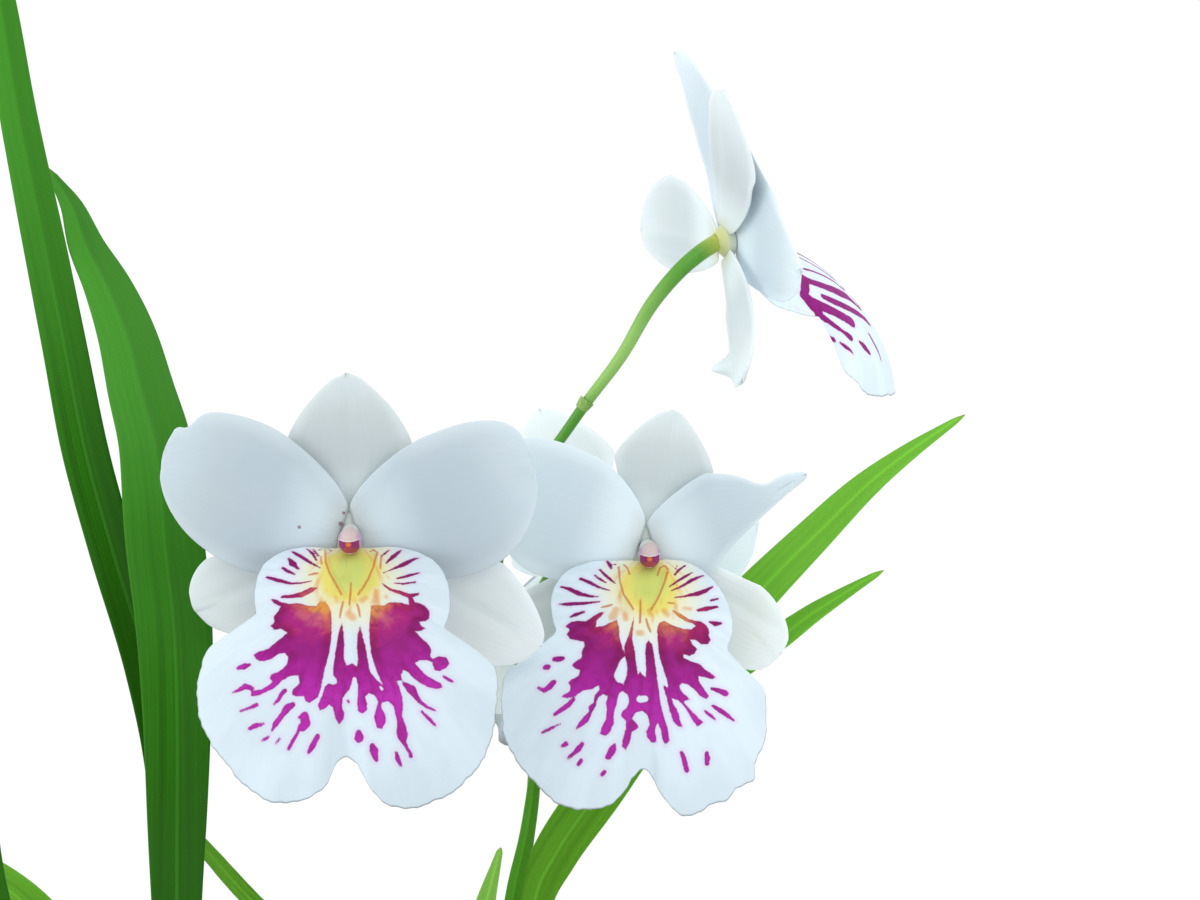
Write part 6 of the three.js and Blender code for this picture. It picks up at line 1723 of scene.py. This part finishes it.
def build_stage(s):
    """A round pale floor, a white room, soft studio light and the camera."""
    scene = bpy.context.scene
    bpy.ops.mesh.primitive_circle_add(vertices=FLOOR_SIDES, radius=s.floor_radius, fill_type="NGON")
    floor = bpy.context.object
    floor.name = "studio_floor"
    f = Finish("studio_floor_paint", Roughness=0.9, Specular_IOR_Level=0.1)
    floor.data.materials.append(f.done(f.blend(f.noise(9, 2), s.floor, scaled(s.floor, 0.97))))
    world = bpy.data.worlds.new("studio_room")
    world.use_nodes = True
    background = world.node_tree.nodes["Background"]
    background.inputs["Color"].default_value = (1, 1, 1, 1)
    background.inputs["Strength"].default_value = s.sky
    scene.world = world
    area_light("key_light", s.key, KEY_LIGHT_PLACE, KEY_LIGHT_WIDTH)
    area_light("side_light", s.fill, SIDE_LIGHT_PLACE, SIDE_LIGHT_WIDTH, SIDE_LIGHT_COLOUR)
    camera = bpy.data.objects.new("camera", bpy.data.cameras.new("camera"))
    camera.data.lens, camera.data.sensor_width = CAMERA_LENS, CAMERA_SENSOR
    camera.data.clip_start, camera.data.clip_end = CAMERA_NEAR * MM, CAMERA_FAR * MM
    camera.location = Vector(CAMERA_PLACE) * MM
    camera.rotation_euler = (math.pi / 2, 0, 0)
    scene.collection.objects.link(camera)
    scene.camera = camera
    scene.view_settings.view_transform = "Standard"
    scene.view_settings.look = "None"


# ---- Operators and panel ----
class MakesPiece:
    """What every operator here does: it builds its pieces from their settings."""

    bl_options = {"REGISTER", "UNDO"}

    def execute(self, context):
        self.build(getattr(context.scene.orchid_settings, self.settings))
        return {"FINISHED"}


class ORCHID_OT_pot(MakesPiece, bpy.types.Operator):
    """Make the clay pot"""

    bl_idname, bl_label, settings = "orchid.pot", "Pot", "pot"
    build = staticmethod(build_pot)


class ORCHID_OT_bark(MakesPiece, bpy.types.Operator):
    """Fill the pot with bark and lay chips on top"""

    bl_idname, bl_label, settings = "orchid.bark", "Bark", "bark"
    build = staticmethod(build_bark)


class ORCHID_OT_bulbs(MakesPiece, bpy.types.Operator):
    """Make the pseudobulbs and their papery sheaths"""

    bl_idname, bl_label, settings = "orchid.bulbs", "Pseudobulbs", "bulb"
    build = staticmethod(build_bulbs)


class ORCHID_OT_leaves(MakesPiece, bpy.types.Operator):
    """Make the strap leaves"""

    bl_idname, bl_label, settings = "orchid.leaves", "Leaves", "leaf"
    build = staticmethod(build_leaves)


class ORCHID_OT_stem(MakesPiece, bpy.types.Operator):
    """Make the flower stem, its stalks and bracts"""

    bl_idname, bl_label, settings = "orchid.stem", "Flower stem", "stem"
    build = staticmethod(build_stem)


class ORCHID_OT_tepals(MakesPiece, bpy.types.Operator):
    """Make the petals and sepals of every bloom"""

    bl_idname, bl_label, settings = "orchid.tepals", "Petals and sepals", "tepal"
    build = staticmethod(build_tepals)


class ORCHID_OT_lips(MakesPiece, bpy.types.Operator):
    """Make the marked lip of every bloom"""

    bl_idname, bl_label, settings = "orchid.lips", "Lips", "lip"
    build = staticmethod(build_lips)


class ORCHID_OT_columns(MakesPiece, bpy.types.Operator):
    """Make the hooded column of every bloom"""

    bl_idname, bl_label, settings = "orchid.columns", "Columns", "column"
    build = staticmethod(build_columns)


class ORCHID_OT_stage(MakesPiece, bpy.types.Operator):
    """Lay the floor, light the room and place the camera"""

    bl_idname, bl_label, settings = "orchid.stage", "Floor, light and camera", "stage"
    build = staticmethod(build_stage)


OPERATORS = [
    ORCHID_OT_pot, ORCHID_OT_bark, ORCHID_OT_bulbs, ORCHID_OT_leaves, ORCHID_OT_stem, ORCHID_OT_tepals,
    ORCHID_OT_lips, ORCHID_OT_columns, ORCHID_OT_stage,
]


class ORCHID_PT_panel(bpy.types.Panel):
    """Lists the pieces of the orchid with their settings"""

    bl_idname, bl_label = "ORCHID_PT_panel", "Pansy Orchid"
    bl_space_type, bl_region_type, bl_category = "VIEW_3D", "UI", "Orchid"

    def draw(self, context):
        for operator in OPERATORS:
            group = getattr(context.scene.orchid_settings, operator.settings)
            box = self.layout.box()
            box.operator(operator.bl_idname)
            for setting in group.__annotations__:
                box.prop(group, setting)


CLASSES = (
    PotSettings, BarkSettings, BulbSettings, LeafSettings, StemSettings, TepalSettings, LipSettings,
    ColumnSettings, StageSettings, OrchidSettings, *OPERATORS, ORCHID_PT_panel,
)


def register():
    """Adds the settings, operators and panel to Blender."""
    for cls in CLASSES:
        bpy.utils.register_class(cls)
    bpy.types.Scene.orchid_settings = bpy.props.PointerProperty(type=OrchidSettings)


def unregister():
    """Takes them out again."""
    del bpy.types.Scene.orchid_settings
    for cls in reversed(CLASSES):
        bpy.utils.unregister_class(cls)


def main():
    """Builds the whole plant and its stage."""
    register()
    for operator in OPERATORS:
        group, name = operator.bl_idname.split(".")
        getattr(getattr(bpy.ops, group), name)()
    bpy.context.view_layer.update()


if __name__ == "__main__":
    main()
